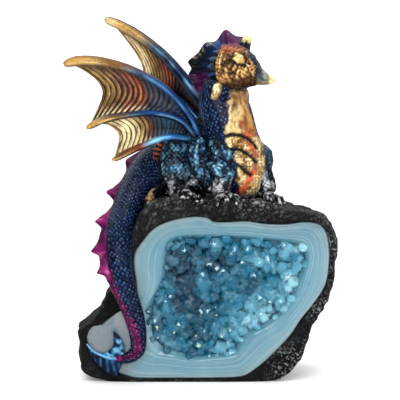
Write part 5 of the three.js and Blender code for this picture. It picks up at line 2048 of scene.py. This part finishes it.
@dataclass(frozen=True)
class CrystalFinish:
    """Glossy tinted resin chips that let a little light in, with glitter."""

    name: str = "blue_crystal"
    roughness: float = 0.2  # of the clear places
    milk: Colour = (0.3, 0.56, 0.64, 1.0)  # colour of the cloudy places
    murk: Colour = (0.0, 0.04, 0.07, 1.0)  # colour of the dark ones
    dark: Colour = (0.0, 0.0, 0.0, 1.0)  # what the chips themselves glow with
    spark: Colour = (0.7, 0.75, 0.75, 1.0)  # painted sparkle: what the glitter glows with

    def material(self) -> bpy.types.Material:
        """Reads each chip's tint from the mesh, clouds it, and lets the glitter glow a little as a painted
        sparkle.
        """
        kit = NodeKit(self.name)
        paint, flake = kit.attribute("paint", "Color"), kit.attribute("paint", "Alpha")
        cloud = kit.clamp_step(0.45, 0.72, kit.grain(420.0, 4.0))
        murk = kit.clamp_step(0.5, 0.3, kit.grain(300.0, 3.0))
        milky = kit.blend(0.16 * cloud, paint, self.milk)
        colour = kit.blend(0.45 * murk, milky, self.murk)
        glow = kit.blend(flake, self.dark, self.spark)
        return kit.finish(
            Base_Color=colour, Roughness=self.roughness + 0.2 * cloud, Coat_Weight=0.2, Coat_Roughness=0.15,
            Specular_IOR_Level=0.15, Emission_Color=glow, Emission_Strength=0.5,
            Subsurface_Weight=0.5, Subsurface_Radius=(0.3, 0.8, 1.0), Subsurface_Scale=0.002,
            Normal=kit.bump(kit.grain(700.0, 2.0), 0.1, 0.0003),
        )


@dataclass(frozen=True)
class Studio:
    """A pale floor, soft lights and a long lens a little above the ornament."""

    frame_width: float = 0.132  # width of the picture at the object, in metres
    distance: float = 0.9  # from the lens to the point it looks at
    target: Point = (0.0, -0.014, 0.0596)
    floor_size: float = 14.0
    white: Colour = (1.0, 1.0, 1.0, 1.0)  # colour of the surround and of the floor's own light
    pale: Colour = (0.92, 0.92, 0.92, 1.0)  # colour of the floor
    # Name, place, size and power of each light.
    lights: tuple[tuple[str, Point, float, float], ...] = (
        ("key", (-0.18, -0.76, 0.62), 0.6, 6.6),
        ("fill", (0.62, -0.55, 0.3), 0.6, 2.0),
        ("top", (0.05, 0.1, 0.85), 0.5, 2.4),
        ("backdrop", (0.0, 3.0, 1.8), 5.0, 130.0),
    )

    def build(self) -> None:
        """Everything but the ornament."""
        self._floor()
        self._world()
        for name, place, size, power in self.lights:
            self._light(name, place, size, power)
        self._camera()
        bpy.context.scene.view_settings.view_transform = "Standard"

    def _floor(self) -> None:
        """A plain pale floor."""
        half = 0.5 * self.floor_size
        mesh = bpy.data.meshes.new("studio_floor")
        corners = [(-half, -half, 0.0), (half, -half, 0.0), (half, half, 0.0), (-half, half, 0.0)]
        mesh.from_pydata(corners, [], [(0, 1, 2, 3)])
        floor = bpy.data.objects.new("studio_floor", mesh)
        link(floor)
        kit = NodeKit("pale_floor")
        mesh.materials.append(kit.finish(
            Base_Color=self.pale, Roughness=0.9, Emission_Color=self.white, Emission_Strength=0.15,
        ))

    def _world(self) -> None:
        """An even white surround."""
        world = bpy.data.worlds.new("studio_world")
        world.use_nodes = True
        background = world.node_tree.nodes["Background"]
        background.inputs["Color"].default_value = self.white
        background.inputs["Strength"].default_value = 0.5
        bpy.context.scene.world = world

    def _light(self, name: str, place: Point, size: float, power: float) -> None:
        """A square soft light that looks at the target or, above the floor behind, straight down."""
        data = bpy.data.lights.new(name, "AREA")
        data.size = size
        data.energy = power
        light = bpy.data.objects.new(name, data)
        light.location = place
        if name != "backdrop":
            light.rotation_euler = (Vector(self.target) - Vector(place)).to_track_quat("-Z", "Y").to_euler()
        link(light)

    def _camera(self) -> None:
        """The camera, at the photograph's height and angle."""
        data = bpy.data.cameras.new("lens")
        data.angle = 2.0 * math.atan(0.5 * self.frame_width / self.distance)
        camera = bpy.data.objects.new("lens", data)
        back = Vector((0.0, -math.cos(VIEW_TILT), math.sin(VIEW_TILT)))
        camera.location = Vector(self.target) + back * self.distance
        camera.rotation_euler = (-back).to_track_quat("-Z", "Y").to_euler()
        link(camera)
        bpy.context.scene.camera = camera


def dress(piece: bpy.types.Object, material: bpy.types.Material, node: str) -> None:
    """Gives a piece its finish and its place in the frame.

    Args:
        piece: the piece.
        material: its finish.
        node: the CAD node that it stands for.
    """
    piece.data.materials.clear()
    piece.data.materials.append(material)
    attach(piece, "root")
    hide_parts(node)
    triangles = sum(len(face.vertices) - 2 for face in piece.data.polygons)
    LOG.info("%s stands for %s with %d triangles", piece.name, node, triangles)


def main() -> None:
    """Builds the studio and the four pieces."""
    logging.basicConfig(level=logging.INFO, format="%(name)s: %(message)s")
    Studio().build()
    dress(Dragon().build(), CastingFinish().material(), "dragon")
    dress(Rock().build(), RockFinish().material(), "geode_rock")
    dress(Agate().build(), AgateFinish().material(), "agate_lining")
    dress(Crystals().build(), CrystalFinish().material(), "crystal_bed")


if __name__ == "__main__":
    main()
